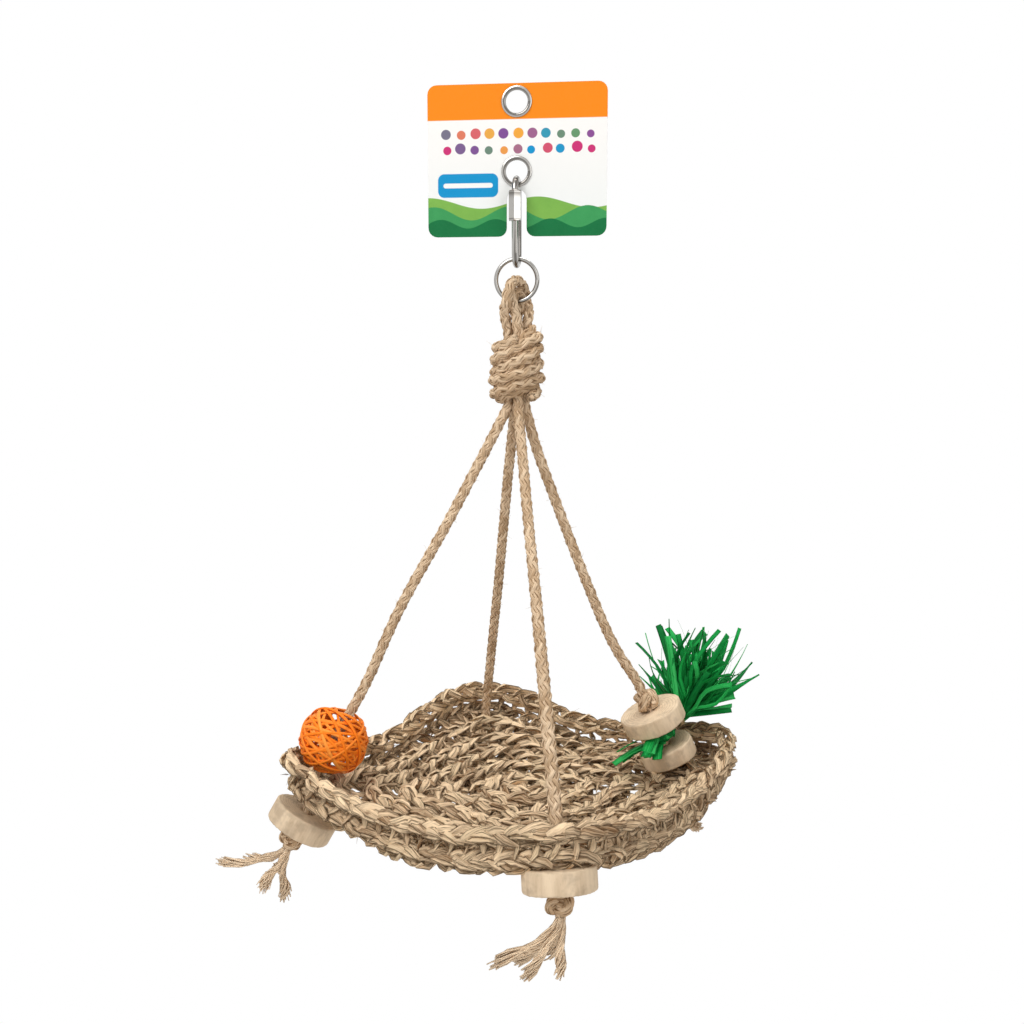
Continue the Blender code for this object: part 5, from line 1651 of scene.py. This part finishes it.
class HAMMOCK_OT_tray(bpy.types.Operator):
    """Crochet the mat from its rounds and posts, and the raised rim."""

    bl_idname = "hammock.tray"
    bl_label = "Seagrass tray"

    def execute(self, context):
        self.tree = stitch_along_tree()
        vee = vee_stitch("vee_stitch", FLOOR_SPREAD)
        bold = vee_stitch("rim_vee_stitch", 1.0)
        post = post_stitch("post_stitch", ROUND_PITCH * POST_REACH)
        strut = post_stitch("rim_post_stitch", RIM_RISE * STRUT_REACH)
        floor = []
        for number in range(MAT_ROUNDS):
            floor += self.plait(vee, number * ROUND_PITCH or MAT_HEART, 0.0, 0.0, SEEDS["rounds"] + number)
        for number in range(MAT_ROUNDS):
            floor.append(self.run((number + 0.5) * ROUND_PITCH, 0.0, POST_WANDER, SEEDS["posts"] + number,
                                  Stitch=post, Count=POSTS_MORE * number + POSTS_FIRST, Roll=0.0, Lift=0.0,
                                  Sway=POST_SWAY, Warp=STITCH_WARP))
        joined("tray_floor", floor, "seagrass_mat")
        joined("tray_edge", self.plait(bold, MAT_REACH, -RIM_GAP, EDGE_ROLL, SEEDS["edge"]))
        rim = self.plait(bold, MAT_REACH + RIM_OUT, RIM_RISE + RIM_GAP, RIM_ROLL, SEEDS["rim"])
        rim.append(self.run(MAT_REACH + STRUT_OUT, RIM_RISE / 2, STRUT_WANDER, SEEDS["struts"],
                            Stitch=strut, Count=STRUTS, Roll=math.pi / 2, Lift=0.0, Sway=STRUT_SWAY,
                            Warp=STRUT_WARP))
        joined("tray_rim", rim, "seagrass_rim")
        shape = Shape()
        add_blades(shape, sizes().seagrass_ends, SEEDS["rim_ends"])
        add_tangle(shape, TANGLE * sizes().seagrass_ends, SEEDS["tangle"])
        shape.put("loose_blades", "hammock", "seagrass")
        for pattern in (vee, bold, post, strut):
            bpy.data.objects.remove(pattern, do_unlink=True)
        return {"FINISHED"}

    def plait(self, stitch, reach, z, roll, seed):
        """A round with stitches above and below."""
        count = max(5, round(reach * 8 * ROUND_SHARE / sizes().stitch_pitch))
        return [self.run(reach, z, ROUND_WANDER, seed, Stitch=stitch, Count=count,
                         Roll=roll + math.pi * layer, Lift=PLAIT_LIFT, Sway=PLAIT_SWAY, Warp=STITCH_WARP,
                         Seed=seed + UNDERSIDE_SEED * layer)
                for layer in (0, 1)]

    def run(self, reach, z, wander, seed, **settings):
        curve = round_curve(reach, z, wander, seed)
        return stitched(curve, self.tree, **{"Seed": seed, "Finish": finish_of("seagrass"), **settings})


class HAMMOCK_OT_slices(bpy.types.Operator):
    """Saw the wood slices: four under the mat and two on the right leg."""

    bl_idname = "hammock.slices"
    bl_label = "Wood slices"

    def execute(self, context):
        for phase, name in enumerate(CORNERS):
            start, way = row_frame(name)
            matrix = along(start + way * (FIT_GAP + DISC_THICKNESS / 2), way)
            slice_piece(f"slice_{name}", "hammock", f"wood_disc_{name}", matrix, sizes().disc_diameter,
                        DISC_THICKNESS, phase)
        for name, diameter in TOY_DIAMETERS.items():
            joint = JOINTS[f"{name}_slice_spin"]
            slice_piece(f"toy_slice_{name}", f"{name}_slice", f"toy_disc_{name}",
                        along(joint["pos_m"], joint["axis"]), diameter, TOY_THICKNESS, TOY_PHASES[name])
        return {"FINISHED"}


class HAMMOCK_OT_ball(bpy.types.Operator):
    """Wind the rattan ball on the left leg."""

    bl_idname = "hammock.ball"
    bl_label = "Rattan ball"

    def execute(self, context):
        joint = JOINTS["ball_spin"]
        ball = ball_shape(along(joint["pos_m"], joint["axis"]))
        ball.put("wound_ball", "ball", "orange_rattan", "rattan_ball")
        return {"FINISHED"}


class HAMMOCK_OT_raffia(bpy.types.Operator):
    """Fold the raffia between the slices and tie it."""

    bl_idname = "hammock.raffia"
    bl_label = "Raffia"

    def execute(self, context):
        joint = JOINTS["raffia_turn"]
        centre = np.array(joint["pos_m"])
        way = unit(joint["axis"])
        out = row_way(RAFFIA_OUT)
        out = unit(out - way * (out @ way))
        hank = raffia_shape(centre, way, out, unit(row_way(BRUSH_WAY)))
        hank.put("raffia_hank", "raffia", "green_raffia", "raffia_tuft")
        neck = np.mean(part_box("raffia_tie"), axis=0)
        tie_shape(neck, way, out).put("raffia_binding", "raffia", "tie_fibre", "raffia_tie")
        return {"FINISHED"}


class HAMMOCK_PT_panel(bpy.types.Panel):
    """Sizes, colours and the steps of the build."""

    bl_label = "Bird Hammock"
    bl_idname = "HAMMOCK_PT_panel"
    bl_space_type = "VIEW_3D"
    bl_region_type = "UI"
    bl_category = "Hammock"

    def draw(self, context):
        layout = self.layout
        for title, group in (("Sizes", sizes()), ("Colours", colours())):
            box = layout.box()
            box.label(text=title)
            for name in group.__annotations__:
                box.prop(group, name)
        for step in STEPS:
            layout.operator(step.bl_idname)


# The stage, from the photograph's viewpoint
CAMERA_SENSOR = 36.0
CAMERA_LENS = 43.95
CAMERA_AZIMUTH = math.radians(8.0)
CAMERA_PITCH = math.radians(7.83)
CAMERA_PLACE = (0.0935, -0.6836, -0.1319)
LAMPS = (
    ("key_lamp", (-0.55, -0.95, 0.75), 0.9, 13.4),
    ("fill_lamp", (0.85, -0.85, 0.15), 0.9, 3.8),
    ("top_lamp", (0.10, 0.35, 0.95), 0.9, 8.4),
)
LAMP_AIM = (0, 0, -0.25)
WORLD_LIGHT = 0.43
FLOOR = -0.70
FLOOR_REACH = 6.0

STEPS = (HAMMOCK_OT_stage, HAMMOCK_OT_ropes, HAMMOCK_OT_tray, HAMMOCK_OT_slices, HAMMOCK_OT_ball,
         HAMMOCK_OT_raffia, HAMMOCK_OT_hanging_gear)
CLASSES = (HammockSizes, HammockColours, *STEPS, HAMMOCK_PT_panel)


def register():
    for item in CLASSES:
        bpy.utils.register_class(item)
    bpy.types.Scene.hammock_sizes = PointerProperty(type=HammockSizes)
    bpy.types.Scene.hammock_colours = PointerProperty(type=HammockColours)


def unregister():
    del bpy.types.Scene.hammock_colours
    del bpy.types.Scene.hammock_sizes
    for item in reversed(CLASSES):
        bpy.utils.unregister_class(item)


def main():
    register()
    bpy.ops.hammock.stage()
    bpy.ops.hammock.ropes()
    bpy.ops.hammock.tray()
    bpy.ops.hammock.slices()
    bpy.ops.hammock.ball()
    bpy.ops.hammock.raffia()
    bpy.ops.hammock.hanging_gear()


if __name__ == "__main__":
    main()
